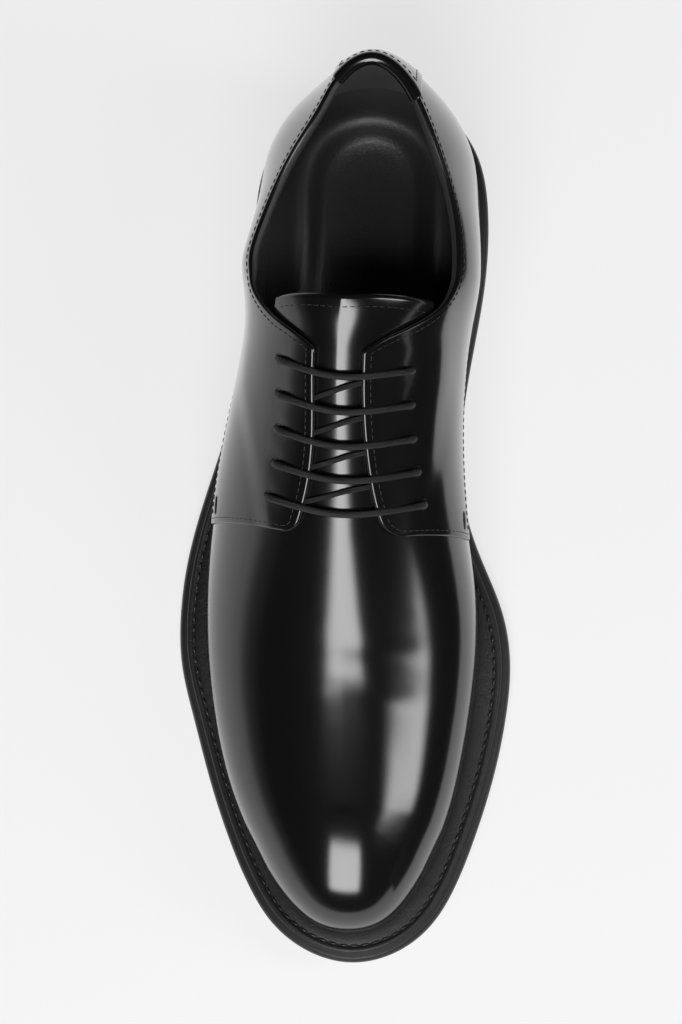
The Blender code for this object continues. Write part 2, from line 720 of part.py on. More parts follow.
def build_heel_tab():
    """Short stay over the back seam, a little proud of the top edge."""
    mesh = bmesh.new()
    fine_q = np.linspace(-0.06, 0.06, 61)
    edge = first_crossing(fine_q, above_collar)
    climb = edge / (last(fine_q, edge)[:, 2] - rib(fine_q)[0][:, 2])
    drops = np.linspace(-HEEL_TAB_PROUD, HEEL_TAB_HEIGHT, 7)
    columns = np.linspace(-HEEL_TAB_WIDTH / 2.0, HEEL_TAB_WIDTH / 2.0, 9)
    inner_offset = VAMP_WALL + QUARTER_STEP + GAP
    outer, inner = [], []
    for drop in drops:
        fine_v = edge - drop * climb
        x = last(fine_q, fine_v)[:, 0]
        q = np.interp(-(HEEL_TAB_X + columns), -x, fine_q)
        v = np.interp(q, fine_q, fine_v)
        inner.append(shell(q, v, inner_offset))
        outer.append(shell(q, v, inner_offset + HEEL_TAB_THICKNESS))
    outer, inner = np.array(outer), np.array(inner)
    add_grid(mesh, outer)
    add_grid(mesh, inner, flip=True)
    add_grid(mesh, [outer[0], inner[0]])
    add_grid(mesh, [outer[-1], inner[-1]], flip=True)
    add_grid(mesh, [outer[:, 0], inner[:, 0]])
    add_grid(mesh, [outer[:, -1], inner[:, -1]], flip=True)
    finish("heel_tab", mesh, upper_leather)


def ring(outline, inset, height, q=None):
    """Points round an outline, moved in by the inset; the height is a function of the station."""
    q = np.arange(OUTLINE_POINTS) / OUTLINE_POINTS if q is None else q
    point, normal = outline(q)
    point = point - normal * np.asarray(inset).reshape(-1, 1)
    return world(point[:, 0], point[:, 1], height(point[:, 1]))


def loft(mesh, rings, caps=True, around=False):
    """Faces between rings with the same count of points; caps are strips across the first and last."""
    made = [[mesh.verts.new(point) for point in one] for one in rings]
    count = len(made[0])
    pairs = list(zip(made, made[1:]))
    if around:
        pairs.append((made[-1], made[0]))
    for low, high in pairs:
        for i in range(count):
            j = (i + 1) % count
            mesh.faces.new((low[i], low[j], high[j], high[i]))
    if caps:
        for one in (made[0], made[-1]):
            for i in range(count // 2):
                corners = [one[i], one[i + 1], one[(count - i - 1) % count], one[(count - i) % count]]
                mesh.faces.new(list(dict.fromkeys(corners)))
    return made


def outsole_top(station):
    return underside(station) + OUTSOLE_THICKNESS


def build_outsole():
    mesh = bmesh.new()
    filler = WELT_FLANGE + GAP
    loft(mesh, [
        ring(sole_outline, OUTSOLE_BOTTOM_SETBACK, underside),
        ring(sole_outline, 0.0, lambda s: underside(s) + OUTSOLE_WIDEST * OUTSOLE_THICKNESS),
        ring(sole_outline, OUTSOLE_TOP_SETBACK, outsole_top),
        ring(feather_outline, filler, outsole_top),
        ring(feather_outline, filler, welt_top),
    ])
    finish("outsole", mesh, sole_rubber)


def build_welt():
    mesh = bmesh.new()

    def foot(s):
        return outsole_top(s) + GAP

    loft(mesh, [
        ring(sole_outline, WELT_SETBACK, foot),
        ring(sole_outline, WELT_SETBACK, lambda s: welt_top(s) - WELT_BEVEL),
        ring(sole_outline, WELT_SETBACK + WELT_BEVEL, welt_top),
        ring(feather_outline, WELT_FLANGE, welt_top),
        ring(feather_outline, WELT_FLANGE, foot),
    ], caps=False, around=True)
    finish("welt", mesh, welt_leather)


def build_insole():
    """Footbed, with a rim raised round the seat."""
    mesh = bmesh.new()

    def foot(s):
        return welt_top(s) + GAP

    def bed(s):
        return foot(s) + INSOLE_THICKNESS

    def rim(s):
        return bed(s) + SEAT_RIM_HEIGHT * (1.0 - ease(s / SEAT_RIM_END - 0.4))

    loft(mesh, [
        ring(feather_outline, INSOLE_CLEARANCE, foot),
        ring(feather_outline, INSOLE_CLEARANCE, rim),
        ring(feather_outline, INSOLE_CLEARANCE + 0.25 * SEAT_RIM_WIDTH, rim),
        ring(feather_outline, SEAT_RIM_WIDTH, bed),
    ])
    finish("insole", mesh, lining_leather)


def build_heel():
    """Heel block and its top lift, with a hollow breast."""
    mesh = bmesh.new()
    fine = np.linspace(0.0, 0.5, 400)
    station = sole_outline(fine)[0][:, 1]
    q_lateral = float(np.interp(HEEL_LENGTH, station, fine))
    q_medial = float(np.interp(HEEL_LENGTH, sole_outline(1.0 - fine)[0][:, 1], 1.0 - fine))
    around = np.concatenate([np.linspace(q_lateral, 0.0, 18), np.linspace(1.0, q_medial, 18)[1:]])

    def heel_ring(inset, height):
        sides = ring(sole_outline, inset, height, around)
        middle = []
        for t in (0.75, 0.5, 0.25):
            x = sides[-1][0] * t + sides[0][0] * (1.0 - t)
            s = HEEL_LENGTH - BREAST_HOLLOW * 4.0 * t * (1.0 - t)
            middle.append(world(np.array(x), np.array(s), np.array(height(s))))
        return np.concatenate([sides, middle])

    low = HEEL_SETBACK + HEEL_TAPER
    lift = HEEL_SETBACK + HEEL_TAPER * (1.0 - LIFT_THICKNESS / SEAT_RISE)
    rings = [
        heel_ring(low, lambda s: 0.0 * s),
        heel_ring(lift, lambda s: 0.0 * s + LIFT_THICKNESS - LIFT_GROOVE),
        heel_ring(lift + LIFT_GROOVE, lambda s: 0.0 * s + LIFT_THICKNESS),
        heel_ring(lift, lambda s: 0.0 * s + LIFT_THICKNESS + LIFT_GROOVE),
        heel_ring(HEEL_SETBACK, lambda s: underside(s) - GAP),
    ]
    made = loft(mesh, rings, caps=False)
    sides = len(around)
    for one in (made[0], made[-1]):
        for i in range(sides // 2):
            corners = [one[i], one[i + 1], one[sides - i - 2], one[sides - i - 1]]
            mesh.faces.new(list(dict.fromkeys(corners)))
        mesh.faces.new([one[0]] + one[sides - 1:])
    finish("heel", mesh, sole_rubber)


for old in list(bpy.data.objects):
    bpy.data.objects.remove(old, do_unlink=True)
shoe = bpy.data.collections.new("derby_shoe")
cutters = bpy.data.collections.new("cutters")
bpy.context.scene.collection.children.link(shoe)
bpy.context.scene.collection.children.link(cutters)

upper_leather = make_material("polished_leather", (0.012, 0.012, 0.013), 0.18)
lining_leather = make_material("lining_leather", (0.03, 0.03, 0.03), 0.6)
welt_leather = make_material("welt", (0.015, 0.015, 0.015), 0.6)
sole_rubber = make_material("sole_rubber", (0.03, 0.03, 0.03), 0.55)
lace_cord = make_material("lace_cord", (0.015, 0.015, 0.015), 0.5)

build_outsole()
build_heel()
build_welt()
build_insole()
build_upper()
build_tongue()
build_heel_tab()
build_laces()
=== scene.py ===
# Looks of the derby shoe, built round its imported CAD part. Metres, +Z up; the toe points along -Y and the
# inner (medial) side is +X. A station is a distance from the heel's back end, along the shoe.
import math

import bmesh
import bpy
import numpy as np
from mathutils import Matrix, Vector

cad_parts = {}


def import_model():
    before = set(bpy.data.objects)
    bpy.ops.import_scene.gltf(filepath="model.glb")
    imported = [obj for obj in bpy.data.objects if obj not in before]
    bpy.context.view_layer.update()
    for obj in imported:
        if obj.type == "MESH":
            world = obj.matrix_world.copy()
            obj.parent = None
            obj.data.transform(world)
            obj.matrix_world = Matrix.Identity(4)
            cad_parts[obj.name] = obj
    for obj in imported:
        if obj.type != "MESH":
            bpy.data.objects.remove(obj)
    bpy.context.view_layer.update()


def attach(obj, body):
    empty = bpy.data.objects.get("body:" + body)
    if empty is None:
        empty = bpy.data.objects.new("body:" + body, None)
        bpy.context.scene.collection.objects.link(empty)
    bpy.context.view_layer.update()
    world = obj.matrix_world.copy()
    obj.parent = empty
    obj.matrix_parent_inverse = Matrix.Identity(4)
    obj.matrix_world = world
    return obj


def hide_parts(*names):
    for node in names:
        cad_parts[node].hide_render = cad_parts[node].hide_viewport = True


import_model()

print("frame loaded")

# The shoe's sizes, as in the CAD part
size = {
    "soleLength": 0.2980,
    "soleBallWidth": 0.1124,
    "upperBallWidth": 0.0872,
    "outsoleThickness": 0.0067,
    "weltThickness": 0.0036,
    "seatRise": 0.0200,
    "toeSpring": 0.0100,
    "seatEnd": 0.030,
    "flatStart": 0.184,
    "flatEnd": 0.208,
    "springPower": 1.8,
    "featherHeelInset": 0.0045,
    "featherToeInset": 0.0117,
    "instepHeight": 0.0560,
    "backHeight": 0.0575,
    "ankleHeight": 0.0470,
    "facingHeight": 0.0625,
    "ankleStation": 0.0745,
    "vampWall": 0.0020,
    "quarterStep": 0.0012,
    "heelPole": 0.0460,
    "toePole": 0.2480,
    "poleRun": 0.0200,
    "sweepLateral": 0.0100,
    "sweepMedial": 0.0040,
    "throatTop": 0.1100,
    "throatEnd": 0.1625,
    "throatTopGap": 0.0147,
    "throatEndGap": 0.0305,
    "tongueTop": 0.0888,
    "tongueThickness": 0.0018,
    "tongueHalfWidth": 0.0230,
    "tongueEndHalfWidth": 0.0146,
    "tongueRoom": 0.0080,
    "facingGap": 0.0007,
    "seamGap": 0.0005,
}
length = size["soleLength"]
halfBall = size["upperBallWidth"] / 2.0

# Plan outlines: shares of the length, and of half the ball width; lateral is -X
solePlan = [
    # share, lateral, medial
    (0.000, 0.163, 0.163),
    (0.030, -0.275, 0.600),
    (0.083, -0.475, 0.805),
    (0.150, -0.545, 0.868),
    (0.235, -0.548, 0.846),
    (0.320, -0.615, 0.765),
    (0.400, -0.735, 0.705),
    (0.480, -0.878, 0.725),
    (0.545, -0.967, 0.838),
    (0.600, -1.002, 0.952),
    (0.660, -0.992, 1.000),
    (0.720, -0.918, 0.975),
    (0.790, -0.815, 0.900),
    (0.860, -0.688, 0.787),
    (0.915, -0.558, 0.672),
    (0.955, -0.420, 0.545),
    (0.982, -0.250, 0.385),
    (1.000, 0.065, 0.065),
]
featherPlan = [
    # share, lateral, medial
    (0.000, 0.210, 0.210),
    (0.030, -0.290, 0.713),
    (0.085, -0.505, 0.925),
    (0.150, -0.545, 0.959),
    (0.235, -0.573, 0.930),
    (0.320, -0.665, 0.860),
    (0.420, -0.820, 0.815),
    (0.520, -0.945, 0.872),
    (0.610, -1.000, 0.965),
    (0.690, -0.986, 0.975),
    (0.760, -0.922, 0.924),
    (0.830, -0.810, 0.842),
    (0.890, -0.655, 0.730),
    (0.940, -0.480, 0.580),
    (0.975, -0.302, 0.425),
    (0.992, -0.155, 0.290),
    (1.000, 0.060, 0.060),
]

# The last: its ridge, the handles of its ribs and where it passes the top edge
ridgeTable = [
    # share, height above the forepart's feather line, x
    (0.100, 2.060, 0.240),
    (0.190, 1.900, 0.180),
    (0.280, 1.650, 0.100),
    (0.380, 1.400, 0.044),
    (0.460, 1.190, 0.040),
    (0.530, 1.020, 0.028),
    (0.600, 0.870, 0.028),
    (0.670, 0.760, 0.035),
    (0.750, 0.675, 0.046),
    (0.835, 0.595, 0.060),
]
ribTable = [
    # share, pull lateral, pull medial, lift, crown lateral, crown medial
    (0.015, 0.030, 0.030, 0.330, 0.700, 0.700),
    (0.100, 0.050, 0.060, 0.340, 0.700, 0.700),
    (0.180, 0.080, 0.100, 0.380, 0.700, 0.700),
    (0.260, 0.110, 0.150, 0.430, 0.720, 0.720),
    (0.350, 0.120, 0.190, 0.480, 0.660, 0.680),
    (0.450, 0.130, 0.200, 0.520, 0.580, 0.600),
    (0.560, 0.120, 0.160, 0.560, 0.540, 0.560),
    (0.670, 0.100, 0.120, 0.600, 0.530, 0.550),
    (0.780, 0.080, 0.090, 0.640, 0.540, 0.550),
    (0.880, 0.060, 0.060, 0.700, 0.560, 0.560),
    (0.962, 0.050, 0.050, 0.740, 0.580, 0.580),
]
topEdgePlan = [
    # share, lateral, medial
    (0.0305, 0.275, 0.275),
    (0.042, 0.112, 0.429),
    (0.081, -0.067, 0.600),
    (0.123, -0.252, 0.711),
    (0.196, -0.495, 0.851),
    (0.248, -0.608, 0.878),
    (0.330, -0.660, 0.860),
    (0.450, -0.700, 0.850),
]
quarterEdgeTable = [
    # share, lateral, medial: how far up its rib the quarter starts
    (0.000, 0.060, 0.060),
    (0.150, 0.080, 0.080),
    (0.280, 0.110, 0.110),
    (0.400, 0.150, 0.140),
    (0.480, 0.200, 0.180),
    (0.540, 0.250, 0.220),
    (0.750, 0.300, 0.300),
    (1.000, 0.320, 0.320),
]

# How the last is shaped between its tables, in shares; rearReach and the vamp's two stations in metres
lastShape = {
    "springLimit": 1.2,
    "sweepRun": 0.4,
    "topEdgeWay": 0.60,
    "rearReach": 0.004,
    "levelFoot": 0.08,
    "crestStart": 0.85,
    "crestRun": 0.15,
    "ribEnd": 0.97,
    "facingLift": 0.35,
    "cornerBlend": 0.14,
    "vampBackStart": 0.050,
    "vampBackEnd": 0.085,
}

# How finely it is traced
tracing = {
    "outlineSteps": 8001,
    "edgeSteps": 1201,
    "ribSteps": 301,
    "ridgeSteps": 1500,
    "ridgeEnd": 0.001,
    "offRidge": 0.0001,
    "normalStep": 0.0005,
    "outlineNear": 0.0008,
    "surfaceNear": 0.0010,
}


def ease(x):
    x = np.clip(x, 0.0, 1.0)
    return x * x * x * (10.0 - 15.0 * x + 6.0 * x * x)


def blend(a, b, share):
    return a + (b - a) * share


def unit(vector):
    return vector / np.maximum(np.linalg.norm(vector, axis=-1, keepdims=True), 1e-12)


def runLength(points):
    # the length of the path up to each of its points
    return np.concatenate([[0.0], np.cumsum(np.linalg.norm(np.diff(points, axis=0), axis=1))])


def spline(knots, values, closed=False):
    # a cubic curve through the values at the knots
    knots = np.asarray(knots, float)
    values = np.asarray(values, float).reshape(len(knots), -1)
    count = len(knots)
    step = np.diff(knots)
    slope = np.diff(values, axis=0) / step[:, None]
    matrix = np.eye(count)
    right = np.zeros_like(values)
    for i in range(1, count - 1):
        matrix[i, i - 1:i + 2] = step[i - 1], 2.0 * (step[i - 1] + step[i]), step[i]
        right[i] = 6.0 * (slope[i] - slope[i - 1])
    if closed:
        matrix[0, :2] = 2.0 * (step[-1] + step[0]), step[0]
        matrix[0, -2] = step[-1]
        right[0] = 6.0 * (slope[0] - slope[-1])
        matrix[-1, 0] = -1.0
    bend = np.linalg.solve(matrix, right)

    def curve(t):
        t = np.asarray(t, float)
        i = np.clip(np.searchsorted(knots, t, side="right") - 1, 0, count - 2)
        h = step[i][..., None]
        a = (knots[i + 1] - t)[..., None] / h
        b = (t - knots[i])[..., None] / h
        value = a * values[i] + b * values[i + 1]
        value = value + ((a ** 3 - a) * bend[i] + (b ** 3 - b) * bend[i + 1]) * h * h / 6.0
        return value[..., 0] if value.shape[-1] == 1 else value

    return curve


def column(table, index):
    return spline([row[0] * length for row in table], [row[index] for row in table])


def closedOutline(plan, outlineLength, halfWidth, start):
    # q runs from the heel's back end (0) by the lateral side to the toe (0.5), and back by the
    # medial side (1)
    lateral = [(row[1] * halfWidth, start + row[0] * outlineLength) for row in plan]
    medial = [(row[2] * halfWidth, start + row[0] * outlineLength) for row in plan]
    points = np.array(lateral + medial[-2::-1])
    knots = runLength(points)
    curve = spline(knots, points, closed=True)
    fine = np.linspace(0.0, knots[-1], tracing["outlineSteps"])
    traced = curve(fine)
    way = runLength(traced)
    tip = way[np.argmax(traced[:, 1])]
    turn = np.where(way <= tip, 0.5 * way / tip, 0.5 + 0.5 * (way - tip) / (way[-1] - tip))

    def at(q):
        return curve(np.interp(np.asarray(q, float) % 1.0, turn, fine))

    def outline(q):
        near = tracing["outlineNear"]
        tangent = unit(at(np.asarray(q) + near) - at(np.asarray(q) - near))
        return at(q), np.stack([-tangent[..., 1], tangent[..., 0]], axis=-1)

    return outline


def toeSpring(station):
    way = np.clip((station - size["flatEnd"]) / (length - size["flatEnd"]), 0.0, lastShape["springLimit"])
    return size["toeSpring"] * way ** size["springPower"]


def underside(station):
    fall = ease((station - size["seatEnd"]) / (size["flatStart"] - size["seatEnd"]))
    return size["seatRise"] * (1.0 - fall) + toeSpring(station)


def weltTop(station):
    return underside(station) + size["outsoleThickness"] + size["weltThickness"]


def held(station, limit, run):
    # the station, eased so that it never passes the limit
    t = np.clip((station - limit + run) / (2.0 * run), 0.0, 1.0)
    stopped = limit - run + 2.0 * run * (t - t ** 4 * (2.5 - 3.0 * t + t * t))
    return np.where(station < limit - run, station, stopped)


soleOutline = closedOutline(solePlan, length, size["soleBallWidth"] / 2.0, 0.0)
featherOutline = closedOutline(featherPlan, length - size["featherHeelInset"] - size["featherToeInset"],
                               halfBall, size["featherHeelInset"])
ridgeHeight = column(ridgeTable, 1)
ridgeOffset = column(ridgeTable, 2)
ribColumns = [column(ribTable, index) for index in range(1, 6)]
quarterEdgeLateral = column(quarterEdgeTable, 1)
quarterEdgeMedial = column(quarterEdgeTable, 2)


def world(x, station, z):
    return np.stack(np.broadcast_arrays(x, length / 2.0 - station, z), axis=-1)


def stationOf(point):
    return length / 2.0 - point[..., 1]


def ridgeX(station):
    return ridgeOffset(station) * halfBall


def ridge(station):
    base = size["outsoleThickness"] + size["weltThickness"] + toeSpring(station)
    return world(ridgeX(station), station, base + size["instepHeight"] * ridgeHeight(station))


def ridgeStation(q):
    point, _ = featherOutline(q)
    station = point[..., 1]
    way = station / length
    lateral = np.asarray(q) % 1.0 < 0.5
    sweep = np.where(lateral, size["sweepLateral"], size["sweepMedial"])
    run = lastShape["sweepRun"]
    station = station + sweep * ease(way / run) * ease((1.0 - way) / run)
    station = held(station, size["toePole"], size["poleRun"])
    return -held(-station, -size["heelPole"], size["poleRun"])


def collarHeight(station):
    height = blend(size["backHeight"], size["ankleHeight"], ease(station / size["ankleStation"]))
    facing = ease((station - size["ankleStation"]) / (size["throatTop"] - size["ankleStation"]))
    return weltTop(0.0) + height + (size["facingHeight"] - size["ankleHeight"]) * facing


def traceTopEdge():
    # where each rib, seen from above, crosses the top edge's plan
    q = np.linspace(0.0, 1.0, tracing["edgeSteps"])
    foot = featherOutline(q)[0]
    station = ridgeStation(q)
    centre = np.stack([ridgeX(station), station], axis=-1)
    plan = [(row[1], row[0]) for row in topEdgePlan[:0:-1]] + [(row[2], row[0]) for row in topEdgePlan]
    plan = np.array(plan) * np.array([halfBall, length])
    way = runLength(plan)
    edge = spline(way, plan)(np.linspace(0.0, way[-1], tracing["edgeSteps"] - 1))
    targets = np.zeros((len(q), 2))
    for i in range(len(q)):
        ray = foot[i] - centre[i]
        away = edge - centre[i]
        turn = ray[0] * away[:, 1] - ray[1] * away[:, 0]
        crossed = np.nonzero((turn[1:] * turn[:-1] <= 0.0) & (away[1:] @ ray > 0.0))[0]
        k = crossed[0] if len(crossed) else (0 if q[i] < 0.5 else len(edge) - 2)
        share = turn[k] / (turn[k] - turn[k + 1]) if len(crossed) else 0.0
        targets[i] = blend(edge[k], edge[k + 1], share)

    def edgeAt(way):
        return np.stack([np.interp(np.asarray(way) % 1.0, q, targets[:, i]) for i in (0, 1)], axis=-1)

    return edgeAt


topEdge = traceTopEdge()


def rib(q):
    # the four handles of the rib from the feather line's point q up to the ridge
    q = np.asarray(q, float)
    lateral = q % 1.0 < 0.5
    point, normal = featherOutline(q)
    station = point[..., 1]
    pullL, pullM, lift, crownL, crownM = [value(station) for value in ribColumns]
    pull = np.where(lateral, pullL, pullM) * halfBall
    crown = np.where(lateral, crownL, crownM)
    foot = world(point[..., 0], station, weltTop(station) + size["seamGap"])
    end = ridgeStation(q)
    top = ridge(end)
    rise = (top - foot)[..., 2]
    outward = np.stack([normal[..., 0], -normal[..., 1], np.zeros_like(rise)], axis=-1)
    up = np.array([0.0, 0.0, 1.0])
    low = foot + outward * pull[..., None] + up * (lift * rise)[..., None]
    high = top + (foot - top) * np.array([1.0, 1.0, 0.0]) * crown[..., None]
    edge = topEdge(q)
    edge = world(edge[..., 0], edge[..., 1], collarHeight(edge[..., 1]))
    v = lastShape["topEdgeWay"]
    w = 1.0 - v
    through = (edge - w ** 3 * foot - 3.0 * v * w * w * low - v ** 3 * top) / (3.0 * v * v * w)
    run = size["throatTop"] - size["ankleStation"]
    rear = 1.0 - ease((end - size["ankleStation"] + lastShape["rearReach"]) / run)[..., None]
    return foot, low, high + (through - high) * rear, top


def last(q, v):
    foot, low, high, top = rib(q)
    v = np.asarray(v, float)[..., None]
    w = 1.0 - v
    return w ** 3 * foot + 3.0 * v * w * w * low + 3.0 * v * v * w * high + v ** 3 * top


def shell(q, v, offset):
    # the last's surface moved out by the offset
    q, v, offset = [np.asarray(value, float) for value in np.broadcast_arrays(q, v, offset)]
    near = tracing["surfaceNear"]
    inner = np.minimum(v, lastShape["ribEnd"])
    along = last(q + near, inner) - last(q - near, inner)
    upward = last(q, inner + near) - last(q, inner - near)
    normal = unit(np.cross(along, upward))
    station = ridgeStation(q)
    crest = unit(np.cross(np.array([1.0, 0.0, 0.0]), ridge(station + near) - ridge(station - near)))
    crest = crest * np.sign(crest[..., 2:3])
    _, plan = featherOutline(q)
    level = np.stack([plan[..., 0], -plan[..., 1], np.zeros_like(v)], axis=-1)
    atTop = ease((v - lastShape["crestStart"]) / lastShape["crestRun"])[..., None]
    atFoot = 1.0 - ease(v / lastShape["levelFoot"])[..., None]
    normal = unit(normal * (1.0 - atTop) + crest * atTop)
    normal = unit(normal * (1.0 - atFoot) + level * atFoot)
    return last(q, v) + normal * offset[..., None]


def onSurface(q, v, offset):
    # points of the shell and the directions straight out of it
    path = shell(q, v, offset)
    return path, unit(shell(q, v, offset + tracing["normalStep"]) - path)


def firstCrossing(q, test):
    # the lowest v of each rib where the test, of its point, turns positive; 1 if none
    v = np.linspace(0.0, 1.0, tracing["ribSteps"])
    q = np.atleast_1d(q)
    values = test(last(np.repeat(q[:, None], len(v), axis=1), np.repeat(v[None], len(q), axis=0)))
    found = np.ones(len(q))
    for k, row in enumerate(values):
        above = np.nonzero(row[1:] >= 0.0)[0]
        if len(above):
            i = above[0]
            share = 0.0 if row[i] >= 0.0 else -row[i] / (row[i + 1] - row[i])
            found[k] = blend(v[i], v[i + 1], share)
    return found


def aboveCollar(point):
    return point[..., 2] - collarHeight(stationOf(point))


def downThroat(station):
    # 0 at the throat's top, 1 at its end
    return np.clip((station - size["throatTop"]) / (size["throatEnd"] - size["throatTop"]), 0.0, 1.0)


def throatHalfGap(station):
    return blend(size["throatTopGap"], size["throatEndGap"], downThroat(station) ** 3) / 2.0


def tongueHalfWidth(station):
    return blend(size["tongueHalfWidth"], size["tongueEndHalfWidth"], downThroat(station))


def fromRidge(point):
    return np.abs(point[..., 0] - ridgeX(stationOf(point)))


def withinThroat(point):
    station = stationOf(point)
    return np.where(station > size["tongueTop"], throatHalfGap(station) - fromRidge(point), -1.0)


def qOfRidge(station, side):
    # which rib of a side ends at the ridge's station
    q = np.linspace(tracing["ridgeEnd"], 0.5 - tracing["ridgeEnd"], tracing["ridgeSteps"])
    q = q if side < 0 else 1.0 - q
    reached = ridgeStation(q)
    i = int(np.argmax(reached >= station - 1e-9))
    if i == 0:
        return float(q[0])
    share = (station - reached[i - 1]) / (reached[i] - reached[i - 1])
    return float(blend(q[i - 1], q[i], share))


def across(station, offset):
    # the rib and the place on it, for a station and a distance from the ridge
    offset = offset if abs(offset) > tracing["offRidge"] else tracing["offRidge"]
    q = qOfRidge(station, -1 if offset < 0.0 else 1)
    return q, float(firstCrossing(q, lambda point: abs(offset) - fromRidge(point))[0])


def liftOverTongue(point):
    # the facings lie over the tongue, and settle on the last beside it
    station = stationOf(point)
    clear = tongueHalfWidth(station) + size["tongueRoom"] / 2.0
    room = 1.0 - ease((fromRidge(point) - clear) / size["tongueRoom"])
    room = room * ease((station - size["tongueTop"]) / size["tongueRoom"] + 2.0)
    return (size["tongueThickness"] + size["facingGap"]) * room


def facingOffset(q, v):
    return size["vampWall"] + size["quarterStep"] + lastShape["facingLift"] * liftOverTongue(last(q, v))


def quarterEdge(q):
    # the quarter's lower edge, run down to the welt behind the arch
    point, _ = featherOutline(q)
    station = point[..., 1]
    lateral = np.asarray(q) % 1.0 < 0.5
    edge = np.where(lateral, quarterEdgeLateral(station), quarterEdgeMedial(station))
    start, end = lastShape["vampBackStart"], lastShape["vampBackEnd"]
    return edge * ease((station - start) / (end - start))


def upperEdge(q):
    # the collar and the facing meet in a rounded corner
    collar, facing = firstCrossing(q, aboveCollar), firstCrossing(q, withinThroat)
    soft = lastShape["cornerBlend"]
    share = np.clip(0.5 + 0.5 * (facing - collar) / soft, 0.0, 1.0)
    return blend(facing, collar, share) - soft * share * (1.0 - share)


throatQ = {side: qOfRidge(size["throatEnd"], side) for side in (-1, 1)}
print("last worked out")

# Materials
finishes = {
    # leather and rubber: pores and waves raise the surface, in metres at their full height
    "polishedLeather": {
        "color": (0.0045, 0.0045, 0.0048, 1.0), "roughness": 0.17, "spread": 0.02, "coat": 0.6,
        "poreScale": 1500.0, "poreDepth": 0.10, "waveScale": 70.0, "waveDepth": 0.5, "bump": 0.00012,
    },
    "edgeLeather": {
        "color": (0.0045, 0.0045, 0.0048, 1.0), "roughness": 0.35,
        "poreScale": 1500.0, "poreDepth": 0.4, "waveScale": 90.0, "waveDepth": 0.4, "bump": 0.00010,
    },
    "liningLeather": {
        "color": (0.014, 0.014, 0.0145, 1.0), "roughness": 0.50, "sheen": 0.1,
        "poreScale": 1100.0, "poreDepth": 1.2, "waveScale": 120.0, "waveDepth": 0.5, "bump": 0.00014,
    },
    "sockLeather": {
        "color": (0.019, 0.019, 0.0195, 1.0), "roughness": 0.42, "sheen": 0.1,
        "poreScale": 900.0, "poreDepth": 1.4, "waveScale": 100.0, "waveDepth": 0.6, "bump": 0.00016,
    },
    "weltLeather": {
        "color": (0.0045, 0.0045, 0.0047, 1.0), "roughness": 0.50,
        "poreScale": 700.0, "poreDepth": 1.6, "waveScale": 260.0, "waveDepth": 0.8, "bump": 0.00016,
    },
    "soleRubber": {
        "color": (0.0075, 0.0075, 0.0077, 1.0), "roughness": 0.50,
        "poreScale": 1600.0, "poreDepth": 0.6, "waveScale": 200.0, "waveDepth": 0.6, "bump": 0.00010,
    },
    "thread": {
        "color": (0.018, 0.018, 0.0185, 1.0), "roughness": 0.32,
        "poreScale": 3000.0, "poreDepth": 0.8, "waveScale": 900.0, "waveDepth": 0.6, "bump": 0.00010,
    },
}
roughnessSpread = 0.04
coatShare = 0.6  # the coat's roughness, as a share of the leather's
cordFinish = {
    "color": (0.008, 0.008, 0.0085, 1.0),
    "roughness": 0.42,
    "strands": 8.0,
    "pitch": 700.0,
    "bump": 0.00012,
}
grainLook = {
    "Pore Scale": 900.0,
    "Pore Depth": 0.3,
    "Wave Scale": 60.0,
    "Wave Depth": 0.2,
    "poreWidth": 0.12,
    "poreDetail": 4.0,
    "waveDetail": 1.0,
}


def nodeGroup(name, inputs, outputs):
    # a group of shader nodes whose sockets are all plain numbers
    group = bpy.data.node_groups.new(name, "ShaderNodeTree")
    for label, value in inputs.items():
        socket = group.interface.new_socket(label, in_out="INPUT", socket_type="NodeSocketFloat")
        socket.default_value = value
    for label in outputs:
        group.interface.new_socket(label, in_out="OUTPUT", socket_type="NodeSocketFloat")
    return group, group.nodes.new("NodeGroupInput"), group.nodes.new("NodeGroupOutput")


def joined(nodes, links, operation, *values):
    # a maths node fed by sockets or by plain numbers
    node = nodes.new("ShaderNodeMath")
    node.operation = operation
    for socket, value in zip(node.inputs, values):
        if isinstance(value, float):
            socket.default_value = value
        else:
            links.new(value, socket)
    return node.outputs[0]


def makeGrain():
    # pores and faint unevenness of leather: a height, and a mask for the roughness
    labels = ("Pore Scale", "Pore Depth", "Wave Scale", "Wave Depth")
    group, start, end = nodeGroup("leatherGrain", {label: grainLook[label] for label in labels},
                                  ["Height", "Mask"])
    nodes, links = group.nodes, group.links
    place = nodes.new("ShaderNodeTexCoord")
    cells = nodes.new("ShaderNodeTexVoronoi")
    cells.feature = "DISTANCE_TO_EDGE"
    noise = nodes.new("ShaderNodeTexNoise")
    noise.inputs["Detail"].default_value = grainLook["poreDetail"]
    wave = nodes.new("ShaderNodeTexNoise")
    wave.inputs["Detail"].default_value = grainLook["waveDetail"]
    for texture, scale in ((cells, "Pore Scale"), (noise, "Pore Scale"), (wave, "Wave Scale")):
        links.new(place.outputs["Object"], texture.inputs["Vector"])
        links.new(start.outputs[scale], texture.inputs["Scale"])
    pores = joined(nodes, links, "MINIMUM", cells.outputs["Distance"], grainLook["poreWidth"])
    pores = joined(nodes, links, "MULTIPLY", pores, start.outputs["Pore Depth"])
    waves = joined(nodes, links, "MULTIPLY", wave.outputs["Fac"], start.outputs["Wave Depth"])
    links.new(joined(nodes, links, "ADD", pores, waves), end.inputs["Height"])
    links.new(noise.outputs["Fac"], end.inputs["Mask"])
    return group


